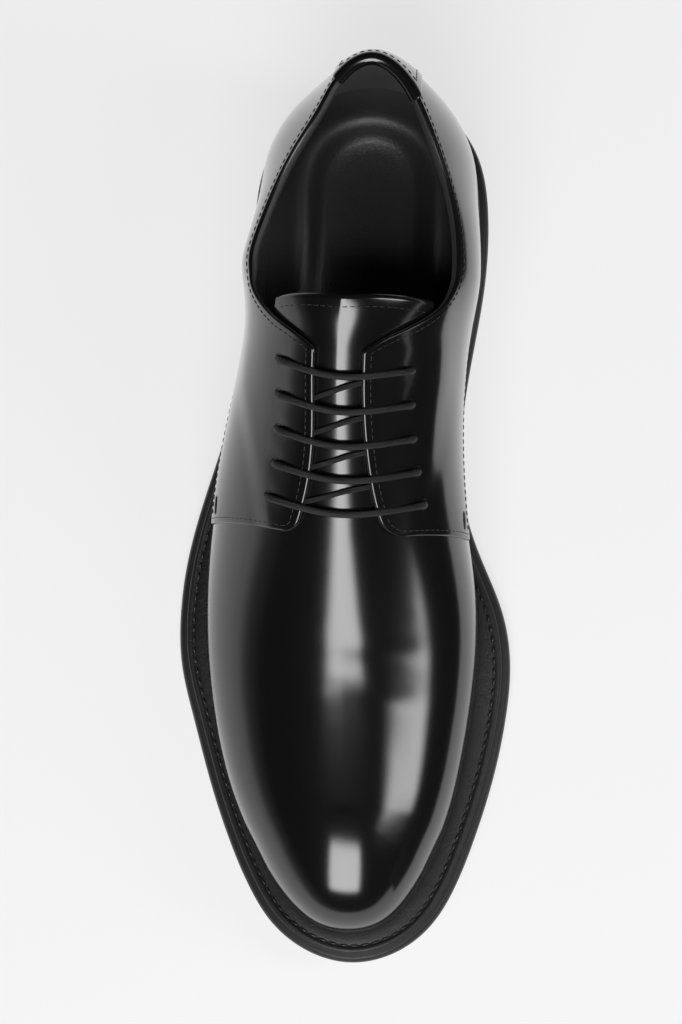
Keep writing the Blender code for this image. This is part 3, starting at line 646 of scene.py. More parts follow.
def makeBraid():
    # crossing strands of a round cord, from its UV: metres along, turns around
    inputs = {"Strands": cordFinish["strands"], "Pitch": cordFinish["pitch"]}
    group, start, end = nodeGroup("cordBraid", inputs, ["Height"])
    nodes, links = group.nodes, group.links
    place = nodes.new("ShaderNodeUVMap")
    place.uv_map = "cord"
    split = nodes.new("ShaderNodeSeparateXYZ")
    links.new(place.outputs["UV"], split.inputs[0])
    around = joined(nodes, links, "MULTIPLY", split.outputs["Y"], start.outputs["Strands"])
    along = joined(nodes, links, "MULTIPLY", split.outputs["X"], start.outputs["Pitch"])
    strands = []
    for operation in ("ADD", "SUBTRACT"):
        turns = joined(nodes, links, operation, along, around)
        turns = joined(nodes, links, "MULTIPLY", turns, 2.0 * math.pi)
        strands.append(joined(nodes, links, "SINE", turns))
    links.new(joined(nodes, links, "MAXIMUM", *strands), end.inputs["Height"])
    return group


grain = makeGrain()
braid = makeBraid()


def plainMaterial(name):
    material = bpy.data.materials.new(name)
    material.use_nodes = True
    return material, material.node_tree.nodes, material.node_tree.links


def leather(name):
    finish = finishes[name]
    spread = finish.get("spread", roughnessSpread)
    material, nodes, links = plainMaterial(name)
    shader = nodes["Principled BSDF"]
    shader.inputs["Base Color"].default_value = finish["color"]
    shader.inputs["Coat Weight"].default_value = finish.get("coat", 0.0)
    shader.inputs["Coat Roughness"].default_value = finish["roughness"] * coatShare
    shader.inputs["Sheen Weight"].default_value = finish.get("sheen", 0.0)
    effect = nodes.new("ShaderNodeGroup")
    effect.node_tree = grain
    for label, value in (("Pore Scale", "poreScale"), ("Pore Depth", "poreDepth"),
                         ("Wave Scale", "waveScale"), ("Wave Depth", "waveDepth")):
        effect.inputs[label].default_value = finish[value]
    rough = nodes.new("ShaderNodeMapRange")
    rough.inputs["To Min"].default_value = finish["roughness"] - spread
    rough.inputs["To Max"].default_value = finish["roughness"] + spread
    links.new(effect.outputs["Mask"], rough.inputs["Value"])
    links.new(rough.outputs["Result"], shader.inputs["Roughness"])
    raised = nodes.new("ShaderNodeBump")
    raised.inputs["Strength"].default_value = 1.0
    raised.inputs["Distance"].default_value = finish["bump"]
    links.new(effect.outputs["Height"], raised.inputs["Height"])
    links.new(raised.outputs["Normal"], shader.inputs["Normal"])
    if "coat" in finish:
        links.new(raised.outputs["Normal"], shader.inputs["Coat Normal"])
    return material


def laceCord():
    material, nodes, links = plainMaterial("laceCord")
    shader = nodes["Principled BSDF"]
    shader.inputs["Base Color"].default_value = cordFinish["color"]
    shader.inputs["Roughness"].default_value = cordFinish["roughness"]
    effect = nodes.new("ShaderNodeGroup")
    effect.node_tree = braid
    raised = nodes.new("ShaderNodeBump")
    raised.inputs["Distance"].default_value = cordFinish["bump"]
    links.new(effect.outputs["Height"], raised.inputs["Height"])
    links.new(raised.outputs["Normal"], shader.inputs["Normal"])
    return material


polished = leather("polishedLeather")
edgeLeather = leather("edgeLeather")
liningLeather = leather("liningLeather")
sockLeather = leather("sockLeather")
weltMaterial = leather("weltLeather")
soleMaterial = leather("soleRubber")
threadMaterial = leather("thread")
laceMaterial = laceCord()


def makePiece(name, verts, faces, material, nodes, merge=0.0, smoothAngle=50.0):
    data = bpy.data.meshes.new(name)
    data.from_pydata([tuple(p) for p in verts], [], [tuple(f) for f in faces])
    data.update()
    if merge:
        mesh = bmesh.new()
        mesh.from_mesh(data)
        bmesh.ops.remove_doubles(mesh, verts=mesh.verts, dist=merge)
        mesh.to_mesh(data)
        mesh.free()
    data.shade_smooth()
    data.set_sharp_from_angle(angle=math.radians(smoothAngle))
    data.materials.append(material)
    piece = bpy.data.objects.new(name, data)
    bpy.context.scene.collection.objects.link(piece)
    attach(piece, "root")
    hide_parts(*nodes)
    return piece


class Sheet:
    # the vertices and faces of a piece, gathered grid by grid

    def __init__(self):
        self.verts = []
        self.faces = []

    def grid(self, points, flip=False, wrap=False):
        points = np.asarray(points)
        rows, columns = points.shape[:2]
        base = len(self.verts)
        self.verts.extend(points.reshape(-1, 3))
        for i in range(rows - 1):
            for j in range(columns if wrap else columns - 1):
                k = (j + 1) % columns
                face = (base + i * columns + j, base + i * columns + k,
                        base + (i + 1) * columns + k, base + (i + 1) * columns + j)
                self.faces.append(face[::-1] if flip else face)


print("materials made")

# Vamp and tongue
vampLook = {
    "stationStep": 0.0009,
    "lowRows": 62,
    "highRows": 34,
    "fanColumns": 90,
    "rearColumns": 120,
    "rearRows": 26,
    "blockStart": 0.80,
    "creases": [
        # station, x, half length across, half width, depth
        (0.1960, 0.0080, 0.0200, 0.0040, 0.00010),
        (0.2045, -0.0040, 0.0180, 0.0035, 0.00009),
        (0.2120, 0.0120, 0.0160, 0.0040, 0.00008),
    ],
    "creaseBend": 0.0015,
    "creaseWaves": 2.6,
    "tongueEdge": 0.0006,
    "tongueExtra": 0.0050,
    "tongueExtraRun": 0.018,
    "underCornerStart": 0.148,
    "underCornerRun": 0.010,
    "tongueStraight": 0.020,
    "tongueStraightness": 0.6,
    "stripBack": 0.09,
    "stripPast": 0.05,
    "stripTop": 0.40,
    "footTuck": [
        # inward, down: how the leather turns in to the welt
        (0.0009, 0.0010),
        (0.0003, 0.0005),
    ],
}
weldDistance = 0.000004


def repeated(q, count):
    return np.repeat(np.asarray(q)[:, None], count, axis=1)


def creaseDepth(point):
    # soft troughs across the vamp where it flexes
    station = stationOf(point)
    depth = np.zeros(station.shape)
    for at, x, reach, width, deep in vampLook["creases"]:
        off = (point[..., 0] - x) / reach
        bend = at + vampLook["creaseBend"] * np.sin(off * vampLook["creaseWaves"])
        depth += deep * np.exp(-((station - bend) / width) ** 2) * np.exp(-off ** 2)
    return depth


def vampSurface(q, v, offset):
    return shell(q, v, offset - creaseDepth(last(q, v)))


def withFoot(q, v, points):
    # the surface's points with two more rows below, tucked in to the welt
    _, plan = featherOutline(q[:, :1])
    inward = np.stack([-plan[..., 0], plan[..., 1], np.zeros(plan[..., 0].shape)], axis=-1)
    down = np.array([0.0, 0.0, -1.0])
    foot = points[:, :1]
    rows = [foot + inward * inset + down * drop for inset, drop in vampLook["footTuck"]]
    return np.concatenate(rows + [points], axis=1)


def blockEdge(q, side):
    # where the upper block of rows starts on a rib: the tongue's side, then a steady share
    station = np.minimum(ridgeStation(q), size["throatEnd"])
    extra = vampLook["tongueExtra"]
    wider = extra * ease((size["throatTop"] - station) / vampLook["tongueExtraRun"]) * (side > 0)
    underCorner = extra * ease((station - vampLook["underCornerStart"]) / vampLook["underCornerRun"])
    half = tongueHalfWidth(station) + wider + underCorner
    edge = firstCrossing(q, lambda point: half[:, None] - fromRidge(point))
    way = ease((ridgeStation(q) - size["throatEnd"]) / (size["toePole"] - size["throatEnd"]))
    return blend(edge, vampLook["blockStart"], way)


def toStation(q, v, station, share=1.0):
    # the rib whose point at v comes to the station, or a share of the way there
    near = tracing["surfaceNear"]
    slope = (stationOf(last(q + near, v)) - stationOf(last(q - near, v))) / (2.0 * near)
    return q + share * (station - stationOf(last(q, v))) / slope


def straightened(q, v, station):
    # the tongue's top is cut straight across, not along the last's ribs
    share = 1.0 - ease((station - size["tongueTop"]) / vampLook["tongueStraight"])
    return toStation(q, v, station, vampLook["tongueStraightness"] * share)


def buildVamp():
    sheet = Sheet()
    wall, top = size["vampWall"], vampLook["blockStart"]
    stations = np.arange(size["tongueTop"], size["toePole"], vampLook["stationStep"])
    stations = np.append(stations, size["toePole"])
    throatIndex = int(np.argmin(np.abs(stations - size["throatEnd"])))
    stations[throatIndex] = size["throatEnd"]
    lateral = np.array([qOfRidge(s, -1) for s in stations])
    medial = np.array([qOfRidge(s, 1) for s in stations])
    high = np.linspace(0.0, 1.0, vampLook["highRows"] + 1)
    low = np.linspace(0.0, 1.0, vampLook["lowRows"] + 1)
    fromTop = ease((stations - size["tongueTop"]) / (size["throatEnd"] - size["tongueTop"]))
    wallHere = blend(size["tongueThickness"], wall, fromTop)
    edgeL = blockEdge(lateral, -1)
    edgeM = blockEdge(medial, 1)
    # the block over the ridge, from the tongue's top to the toe
    upL, upM = blend(edgeL[:, None], 1.0, high), blend(edgeM[:, None], 1.0, high)
    v = np.concatenate([upL, upM[:, -2::-1]], axis=1)
    q = np.concatenate([repeated(lateral, len(high)), repeated(medial, len(high) - 1)], axis=1)
    q = straightened(q, v, stations[:, None])
    outer = vampSurface(q, v, wallHere[:, None])
    sheet.grid(outer)
    # the tongue's underside and its edges
    tongue = slice(0, throatIndex + 1)
    inner = shell(q[tongue], v[tongue], 0.0)
    sheet.grid(inner, flip=True)
    bulge = unit(outer[0] - outer[2])[None] * vampLook["tongueEdge"]
    middle = (outer[0] + inner[0])[None] / 2.0 + bulge
    sheet.grid(np.concatenate([inner[:1], middle, outer[:1]]))
    for side in (0, -1):
        rim = [inner[:, side], (outer[tongue, side] + inner[:, side]) / 2.0, outer[tongue, side]]
        sheet.grid(rim, flip=side == 0)
    # the block from the feather line up to it, round the toe
    fan = np.linspace(lateral[-1], medial[-1], vampLook["fanColumns"] + 1)[1:-1]
    around = np.concatenate([lateral[throatIndex:], fan, medial[throatIndex:][::-1]])
    edgeAround = np.concatenate([edgeL[throatIndex:], np.full(len(fan), top), edgeM[throatIndex:][::-1]])
    q = repeated(around, len(low))
    v = edgeAround[:, None] * low
    sheet.grid(withFoot(q, v, vampSurface(q, v, wall)))
    q = repeated(np.concatenate([lateral[-1:], fan, medial[-1:]]), len(high))
    sheet.grid(vampSurface(q, blend(top, 1.0, high)[None], wall))
    # the strips under the quarters
    rows = vampLook["rearRows"]
    for side, start in ((-1, 0.0), (1, 1.0)):
        ways = np.linspace(start - side * vampLook["stripBack"], throatQ[side], vampLook["rearColumns"])
        reach = np.minimum(quarterEdge(ways) + vampLook["stripPast"], vampLook["stripTop"])
        q = repeated(ways, rows)
        v = np.linspace(0.0, 1.0, rows)[None] * reach[:, None]
        sheet.grid(withFoot(q, v, vampSurface(q, v, wall)), flip=side > 0)
    return makePiece("vamp_and_tongue", sheet.verts, sheet.faces, polished, ["upper", "tongue"],
                     merge=weldDistance, smoothAngle=60.0)


# Quarters and their lining
quarterLook = {
    "columns": 300,
    "rows": 78,
    "fineColumns": 1601,
    "edgeRadius": 0.0007,
    "edgeShares": [0.0, 0.12, 0.3, 0.6, 1.0],
    "edgeColumns": [0.0011, 0.0016, 0.0023, 0.0031, 0.0040, 0.0052, 0.0065],
    "edgeRoom": 1.3,
    "ribStretch": 1.15,
    "frontCorner": {-1: 0.0040, 1: 0.0065},
    "skirt": 0.0002,
    "onVampRun": 0.02,
    "speedAt": 0.4,
    "speedStep": 0.002,
    "dimpleDepth": 0.00020,
    "dimpleRadius": 0.0042,
    "collarRoll": 0.0009,
    "rollTurn": 75.0,
    "rollRows": 7,
}
liningLook = {
    "rows": 44,
    "rollRows": 9,
    "frontColumns": 120,
    "frontRows": 50,
    "frontOffset": -0.0002,
}
eyelets = {
    "rows": 5,
    "first": 0.1105,
    "pitch": 0.0105,
    "setback": {-1: 0.0097, 1: 0.0130},
    "diameter": 0.0034,
    "sides": 32,
    "lip": [
        # share of the hole's radius, height over the leather
        (1.22, -0.0001),
        (1.12, 0.00012),
        (1.00, 0.00010),
        (0.92, 0.00002),
        (0.00, 0.00001),
    ],
}


def eyeletStation(row):
    return eyelets["first"] + row * eyelets["pitch"]


def eyeletPlace(row, side):
    station = eyeletStation(row)
    return across(station, side * (float(throatHalfGap(station)) + eyelets["setback"][side]))


eyeletSpots = {(row, side): eyeletPlace(row, side) for row in range(eyelets["rows"]) for side in (-1, 1)}
eyeletPoints = np.array([last(*spot) for spot in eyeletSpots.values()])


def dimple(point):
    # the laces pull the leather in a little round each hole
    depth = np.zeros(point.shape[:-1])
    for centre in eyeletPoints:
        away = np.linalg.norm(point - centre, axis=-1)
        depth += quarterLook["dimpleDepth"] * np.exp(-(away / quarterLook["dimpleRadius"]) ** 2)
    return depth


def quarterSurface(q, v, drop):
    return shell(q, v, facingOffset(q, v) - drop - dimple(last(q, v)))


def rollDrop(distance, radius):
    # how far a rounded edge has fallen at a distance from its end
    inside = np.clip(radius - distance, 0.0, radius)
    return radius - np.sqrt(np.maximum(radius * radius - inside * inside, 0.0))


def wayPerRib(q):
    # metres along the shoe's side for one whole turn of q
    at, step = quarterLook["speedAt"], quarterLook["speedStep"]
    return np.linalg.norm(last(q, at) - last(q - step, at)) / step


def quarterWays():
    # columns round the quarters, closer where the top edge climbs to the facings
    start, end = throatQ[1] - 1.0, throatQ[-1]
    fine = np.linspace(start, end, quarterLook["fineColumns"])
    total = runLength(last(fine, upperEdge(fine))) + runLength(last(fine, 0.0 * fine))
    ways = np.interp(np.linspace(0.0, total[-1], quarterLook["columns"]), total, fine)
    speed = wayPerRib(end)
    shares = np.array(quarterLook["edgeShares"]) * quarterLook["edgeRadius"]
    near = np.concatenate([shares, quarterLook["edgeColumns"]]) / speed
    room = near[-1] * quarterLook["edgeRoom"]
    ways = ways[(ways > start + room) & (ways < end - room)]
    ways = np.concatenate([start + near, ways, (end - near)[::-1]])
    distance = np.minimum(ways - start, end - ways) * speed
    foot, _, _, top = rib(ways)
    ribLength = np.linalg.norm(top - foot, axis=-1) * quarterLook["ribStretch"]
    corner = frontCorner(ways)
    high = upperEdge(ways) - rollDrop(distance, corner) / ribLength
    return ways, distance, high, ribLength


def frontCorner(ways):
    return np.where(ways > 0.0, quarterLook["frontCorner"][-1], quarterLook["frontCorner"][1])


def topRoll(ways, high, ribLength, degrees):
    # the top edge rolls over from the outside (0) to the lining (180)
    edgeOut = facingOffset(ways, high)
    edgeIn = liftOverTongue(last(ways, high))
    middle, half = (edgeOut + edgeIn) / 2.0, (edgeOut - edgeIn) / 2.0
    dent = dimple(last(ways, high))
    rows = []
    for a in np.radians(degrees):
        rise = quarterLook["collarRoll"] * np.sin(a) / ribLength
        offset = middle + half * np.cos(a) - dent * (1.0 + np.cos(a)) / 2.0
        rows.append(shell(ways, high + rise, offset))
    return rows


def underQuarter(q, v):
    # just inside the vamp's face, where the quarter's cut edge ends
    return shell(q, v, facingOffset(q, v) - size["quarterStep"] - quarterLook["skirt"])


def buildQuarters():
    sheet = Sheet()
    ways, distance, high, ribLength = quarterWays()
    low = quarterEdge(ways)
    radius = quarterLook["edgeRadius"]
    close = np.array(quarterLook["edgeShares"]) * radius
    share = np.linspace(0.0, 1.0, quarterLook["rows"])[1:]
    first = low[:, None] + close[None] / ribLength[:, None]
    v = np.concatenate([first, blend(first[:, -1:], high[:, None], share[None])], axis=1)
    below = (v - low[:, None]) * ribLength[:, None]
    onVamp = ease(low / quarterLook["onVampRun"])[:, None]
    drop = np.maximum(rollDrop(below, radius) * onVamp, rollDrop(distance, radius)[:, None])
    q = repeated(ways, v.shape[1])
    outer = quarterSurface(q, v, drop)
    # the lower edge: down on the vamp, or tucked in to the welt where the quarter reaches it
    skirt = np.where(onVamp > 0.5, underQuarter(ways, low), withFoot(q, v, outer)[:, 0])
    sheet.grid(np.concatenate([skirt[:, None], outer], axis=1))
    # the front edges
    for i in (0, -1):
        sheet.grid([underQuarter(q[i], v[i]), outer[i]], flip=i != 0)
    turns = np.linspace(0.0, quarterLook["rollTurn"], quarterLook["rollRows"])
    sheet.grid(np.stack(topRoll(ways, high, ribLength, turns), axis=1))
    return makePiece("quarters", sheet.verts, sheet.faces, polished, ["upper"],
                     merge=weldDistance, smoothAngle=50.0)


def buildLining():
    # the upper's inside: quarter linings and, ahead of the throat, the vamp's lining
    sheet = Sheet()
    ways, _, high, ribLength = quarterWays()
    rows = np.linspace(0.0, 1.0, liningLook["rows"])
    v = rows[None] * high[:, None]
    q = repeated(ways, len(rows))
    wall = shell(q, v, liftOverTongue(last(q, v)))
    turns = np.linspace(180.0, quarterLook["rollTurn"], liningLook["rollRows"])
    roll = np.stack(topRoll(ways, high, ribLength, turns), axis=1)
    sheet.grid(np.concatenate([wall, roll[:, 1:]], axis=1), flip=True)
    q = repeated(np.linspace(throatQ[-1], throatQ[1], liningLook["frontColumns"]), liningLook["frontRows"])
    v = np.linspace(0.0, 1.0, liningLook["frontRows"])[None]
    sheet.grid(shell(q, v, liningLook["frontOffset"]), flip=True)
    return makePiece("lining", sheet.verts, sheet.faces, liningLeather, ["upper"])


buildVamp()
print("vamp made")
buildQuarters()
buildLining()
print("quarters made")

# Heel tab
tabLook = {
    "width": 0.0228,
    "height": 0.0300,
    "thickness": 0.0010,
    "insideThickness": 0.0004,
    "x": 0.0136,
    "inside": 0.0010,
    "insideRows": 6,
    "edgeRadius": 0.0006,
    "edgeShares": [0.0, 0.15, 0.4, 0.7, 1.0],
    "columns": 26,
    "rows": 34,
    "rollTurns": (15.0, 165.0),
    "rollRows": 11,
    "ribReach": 0.08,
    "ribs": 161,
}

# The ribs behind the tab, the top edge on them, and how much v one metre of height takes
tabRibs = np.linspace(-tabLook["ribReach"], tabLook["ribReach"], tabLook["ribs"])
tabEdge = firstCrossing(tabRibs, aboveCollar)
tabClimb = tabEdge / (last(tabRibs, tabEdge)[:, 2] - rib(tabRibs)[0][:, 2])


def tabPlace(drop, columns):
    # the ribs and places on them, a drop below the top edge and so far off the tab's middle
    fineV = tabEdge - drop * tabClimb
    x = last(tabRibs, fineV)[:, 0]
    q = np.interp(-(tabLook["x"] + columns), -x, tabRibs)
    return q, np.interp(q, tabRibs, fineV)


def tabOutside():
    return size["vampWall"] + size["quarterStep"] + tabLook["thickness"]


def buildTab():
    sheet = Sheet()
    half, height, radius = tabLook["width"] / 2.0, tabLook["height"], tabLook["edgeRadius"]
    near = np.array(tabLook["edgeShares"]) * radius
    middleColumns = np.linspace(-half + near[-1], half - near[-1], tabLook["columns"])[1:-1]
    columns = np.concatenate([-half + near, middleColumns, (half - near)[::-1]])
    side = rollDrop(half - np.abs(columns), radius)
    out, inside = tabOutside(), tabLook["insideThickness"]
    drops = np.concatenate([height - near, np.linspace(height - near[-1], 0.0, tabLook["rows"])[1:]])
    rows = []
    for drop in drops:
        fall = np.maximum(side, rollDrop(height - drop, radius))
        rows.append(shell(*tabPlace(drop, columns), out - fall))
    # over the top edge, and down inside
    q, v = tabPlace(0.0, columns)
    rise = (quarterLook["collarRoll"] + tabLook["thickness"]) * tabClimb[len(tabClimb) // 2]
    middle, reach = (out - inside) / 2.0, (out + inside) / 2.0
    for a in np.radians(np.linspace(*tabLook["rollTurns"], tabLook["rollRows"])):
        rows.append(shell(q, v + rise * math.sin(a), middle + (reach - side) * math.cos(a)))
    for drop in np.linspace(0.0, tabLook["inside"], tabLook["insideRows"]):
        rows.append(shell(*tabPlace(drop, columns), side - inside))
    sheet.grid(rows)
    return makePiece("heel_stay", sheet.verts, sheet.faces, polished, ["heel_tab"],
                     smoothAngle=60.0)


buildTab()
print("heel tab made")

# Outsole, welt, insole and heel
soleLook = {
    "outlinePoints": 420,
    "gap": 0.0003,
    "profile": [
        # inset from the edge, share of the thickness
        (0.0120, 0.0),
        (0.0022, 0.0),
        (0.0017, 0.04),
        (0.0008, 0.22),
        (0.0002, 0.42),
        (0.0000, 0.55),
        (0.0001, 0.70),
        (0.0005, 0.86),
        (0.0010, 0.96),
        (0.0016, 1.00),
    ],
}
weltLook = {
    "setback": 0.0028,
    "flange": 0.0060,
    "rest": 0.00009,
    "underUpper": 0.0022,
    "profile": [
        # inset from the welt's edge, depth below its top: a rounded rim, then the groove of the stitches
        (0.0000, 0.0012),
        (0.0001, 0.0007),
        (0.0005, 0.0002),
        (0.0011, 0.0),
        (0.0018, 0.0),
        (0.0021, 0.0002),
        (0.0025, 0.00025),
        (0.0029, 0.0002),
        (0.0032, 0.0),
    ],
}
insoleLook = {
    "clearance": 0.0008,
    "thickness": 0.0035,
    "rimHeight": 0.0062,
    "rimEnd": 0.0900,
    "rimFade": 0.35,
    "rimAhead": 0.12,
    "profile": [
        # inset from the feather line, share of the rim's height
        (-0.0030, 0.72),
        (-0.0004, 0.74),
        (0.0020, 0.76),
        (0.0045, 0.84),
        (0.0070, 0.97),
        (0.0090, 1.00),
        (0.0108, 0.90),
        (0.0124, 0.66),
        (0.0140, 0.36),
        (0.0156, 0.12),
        (0.0174, 0.00),
        (0.0210, -0.05),
        (0.0260, -0.08),
    ],
}
heelLook = {
    "length": 0.0760,
    "setback": 0.0014,
    "taper": 0.0020,
    "breastHollow": 0.0030,
    "rest": 0.00009,
    "searchSteps": 600,
    "sideColumns": 70,
    "breastColumns": 17,
    "liftThickness": 0.0060,
    "liftGroove": 0.0006,
    "edge": [
        # extra inset, height: the rounded lower edge
        (0.0008, 0.0),
        (0.0001, 0.0004),
        (0.0, 0.0012),
    ],
    "stack": [0.0120, 0.0180],
}


def outlineRing(outline, inset, height, q=None):
    q = np.arange(soleLook["outlinePoints"]) / soleLook["outlinePoints"] if q is None else q
    point, normal = outline(q)
    point = point - normal * inset
    return world(point[:, 0], point[:, 1], height(point[:, 1]))


def capStrips(sheet, base, count, flip, closed=True):
    # closes a ring, or an open run of its points, with strips between its two sides
    end = count if closed else count - 1
    for i in range(count // 2):
        face = [base + i, base + i + 1, base + (end - i - 1) % count, base + (end - i) % count]
        face = list(dict.fromkeys(face))
        if len(face) > 2:
            sheet.faces.append(face if flip else face[::-1])


def closedLoft(name, rings, material, nodes, caps=True):
    sheet = Sheet()
    sheet.grid(rings if caps else rings + rings[:1], wrap=True)
    if caps:
        count = len(rings[0])
        capStrips(sheet, 0, count, False)
        capStrips(sheet, (len(rings) - 1) * count, count, True)
    return makePiece(name, sheet.verts, sheet.faces, material, nodes, smoothAngle=40.0)


def outsoleTop(station):
    return underside(station) + size["outsoleThickness"]


def buildOutsole():
    rings = []
    for inset, share in soleLook["profile"]:
        height = share * size["outsoleThickness"]
        rings.append(outlineRing(soleOutline, inset, lambda s: underside(s) + height))
    rings.append(outlineRing(featherOutline, weltLook["flange"] + soleLook["gap"], outsoleTop))
    return closedLoft("sole_rubber", rings, soleMaterial, ["outsole"])


def buildWelt():
    rings = [outlineRing(soleOutline, weltLook["setback"], lambda s: outsoleTop(s) + weltLook["rest"])]
    for inset, down in weltLook["profile"]:
        rings.append(outlineRing(soleOutline, weltLook["setback"] + inset, lambda s: weltTop(s) - down))
    rings.append(outlineRing(featherOutline, -weltLook["underUpper"], weltTop))
    rings.append(outlineRing(featherOutline, weltLook["flange"], weltTop))
    rings.append(outlineRing(featherOutline, weltLook["flange"], lambda s: outsoleTop(s) + soleLook["gap"]))
    return closedLoft("welt_strip", rings, weltMaterial, ["welt"], caps=False)


def buildInsole():
    def under(s):
        return weltTop(s) + soleLook["gap"]

    def rim(s):
        fade = 1.0 - ease(s / insoleLook["rimEnd"] - insoleLook["rimFade"])
        return insoleLook["rimHeight"] * blend(insoleLook["rimAhead"], 1.0, fade)

    edge = insoleLook["clearance"]
    rings = [outlineRing(featherOutline, edge, under)]
    for inset, share in insoleLook["profile"]:
        rings.append(outlineRing(featherOutline, edge + inset,
                                 lambda s: under(s) + insoleLook["thickness"] + share * rim(s)))
    return closedLoft("footbed", rings, sockLeather, ["insole"])


def heelRing(around, inset, height):
    # round the seat, then along the hollow breast
    sides = outlineRing(soleOutline, inset, height, around)
    t = np.linspace(1.0, 0.0, heelLook["breastColumns"])[1:-1]
    x = blend(sides[0, 0], sides[-1, 0], t)
    station = heelLook["length"] - heelLook["breastHollow"] * 4.0 * t * (1.0 - t)
    return np.concatenate([sides, world(x, station, height(station))])


def buildHeel():
    fine = np.linspace(0.0, 0.5, heelLook["searchSteps"])
    qLateral = np.interp(heelLook["length"], soleOutline(fine)[0][:, 1], fine)
    qMedial = np.interp(heelLook["length"], soleOutline(1.0 - fine)[0][:, 1], 1.0 - fine)
    columns = heelLook["sideColumns"]
    around = np.concatenate([np.linspace(qLateral, 0.0, columns), np.linspace(1.0, qMedial, columns)[1:]])
    lift, groove = heelLook["liftThickness"], heelLook["liftGroove"]
    levels = heelLook["edge"] + [(0.0, lift - groove), (groove, lift), (0.0, lift + groove)]
    levels = levels + [(0.0, z) for z in heelLook["stack"]]
    rings = []
    for extra, z in levels:
        inset = heelLook["setback"] + heelLook["taper"] * (1.0 - z / size["seatRise"]) + extra
        rings.append(heelRing(around, inset, lambda s: z))
    rings.append(heelRing(around, heelLook["setback"], lambda s: underside(s) - heelLook["rest"]))
    sheet = Sheet()
    sheet.grid(rings, wrap=True)
    count, sides = len(rings[0]), len(around)
    for row, flip in ((0, False), (len(rings) - 1, True)):
        base = row * count
        capStrips(sheet, base, sides, flip, closed=False)
        face = [base] + [base + k for k in range(sides - 1, count)]
        sheet.faces.append(face if flip else face[::-1])
    return makePiece("heel_block", sheet.verts, sheet.faces, soleMaterial, ["heel"],
                     smoothAngle=35.0)


buildOutsole()
buildWelt()
buildInsole()
buildHeel()
print("sole made")

# Laces and eyelets
laceLook = {
    "radius": 0.00112,
    "under": 0.00085,
    "sag": 0.0022,
    "sink": 0.0009,
    "sinkStart": 0.2,
    "clear": 0.0002,
    "sides": 12,
    "steps": 90,
    "barEnds": (0.04, 0.96),
    "barPoints": 13,
    "smoothing": 5,
    "holeDepths": [0.0004, -0.0014, -0.0040],
    "underPoints": 11,
    "underStart": -0.0015,
    "underEnd": 0.0025,
    "underReach": 0.0030,
    "underLift": 0.95,
}


def tube(sheet, uvs, points, radius):
    tangent = unit(np.gradient(points, axis=0))
    side = unit(np.cross(tangent, np.array([0.0, 0.0, 1.0])))
    lift = np.cross(side, tangent)
    way = runLength(points)
    turn = np.linspace(0.0, 2.0 * math.pi, laceLook["sides"] + 1)
    around = np.cos(turn)[None, :, None] * side[:, None] + np.sin(turn)[None, :, None] * lift[:, None]
    sheet.grid(points[:, None] + radius * around, flip=True)
    uv = np.stack(np.broadcast_arrays(way[:, None], turn[None] / (2.0 * math.pi)), axis=-1)
    uvs.extend(uv.reshape(-1, 2))


def smoothPath(points):
    way = runLength(points)
    return spline(way, points)(np.linspace(0.0, way[-1], laceLook["steps"]))


def overFacings(station, offset, extra):
    q, v = across(station, offset)
    return shell(q, v, float(facingOffset(np.array(q), np.array(v))) + extra)


def holePoints(row, side):
    # from just over a hole down into it
    q, v = eyeletSpots[(row, side)]
    top = float(facingOffset(np.array(q), np.array(v)))
    return [shell(q, v, top + depth) for depth in laceLook["holeDepths"]]


def barPoints(row):
    station = eyeletStation(row)
    gap = float(throatHalfGap(station))
    ends = (-gap - eyelets["setback"][-1], gap + eyelets["setback"][1])
    points = holePoints(row, -1)[::-1]
    for t in np.linspace(*laceLook["barEnds"], laceLook["barPoints"]):
        offset = blend(*ends, t)
        bow = laceLook["sag"] * math.sin(math.pi * t)
        sunk = laceLook["sink"] * (1.0 - float(ease(abs(offset) / gap - laceLook["sinkStart"])))
        points.append(overFacings(station + bow, offset, laceLook["radius"] + laceLook["clear"] - sunk))
    points = np.array(points + holePoints(row, 1))
    for _ in range(laceLook["smoothing"]):
        points[4:-4] = (points[3:-5] + 2.0 * points[4:-4] + points[5:-3]) / 4.0
    return points


def underRun(row):
    # from under the lateral facing of one row to under the medial facing of the row above
    points = []
    low = eyeletStation(row + 1) + laceLook["underStart"]
    high = eyeletStation(row) + laceLook["underEnd"]
    for t in np.linspace(0.0, 1.0, laceLook["underPoints"]):
        station = blend(low, high, t)
        gap = float(throatHalfGap(station)) + laceLook["underReach"]
        q, v = across(station, blend(-gap, gap, t))
        q = toStation(q, v, station)
        points.append(shell(q, v, size["vampWall"] + laceLook["under"] * laceLook["underLift"]))
    return np.array(points)


def cordPiece(name, paths, node):
    sheet, uvs = Sheet(), []
    for points, radius in paths:
        tube(sheet, uvs, smoothPath(points), radius)
    piece = makePiece(name, sheet.verts, sheet.faces, laceMaterial, [node], smoothAngle=80.0)
    layer = piece.data.uv_layers.new(name="cord")
    corners = np.zeros(len(piece.data.loops), dtype=np.int32)
    piece.data.loops.foreach_get("vertex_index", corners)
    layer.data.foreach_set("uv", np.array(uvs)[corners].astype(np.float32).ravel())
    return piece


for row in range(eyelets["rows"]):
    paths = [(barPoints(row), laceLook["radius"])]
    if row + 1 < eyelets["rows"]:
        paths.append((underRun(row), laceLook["under"]))
    cordPiece(f"lace_{row + 1}", paths, f"lace_bar_{row + 1}")


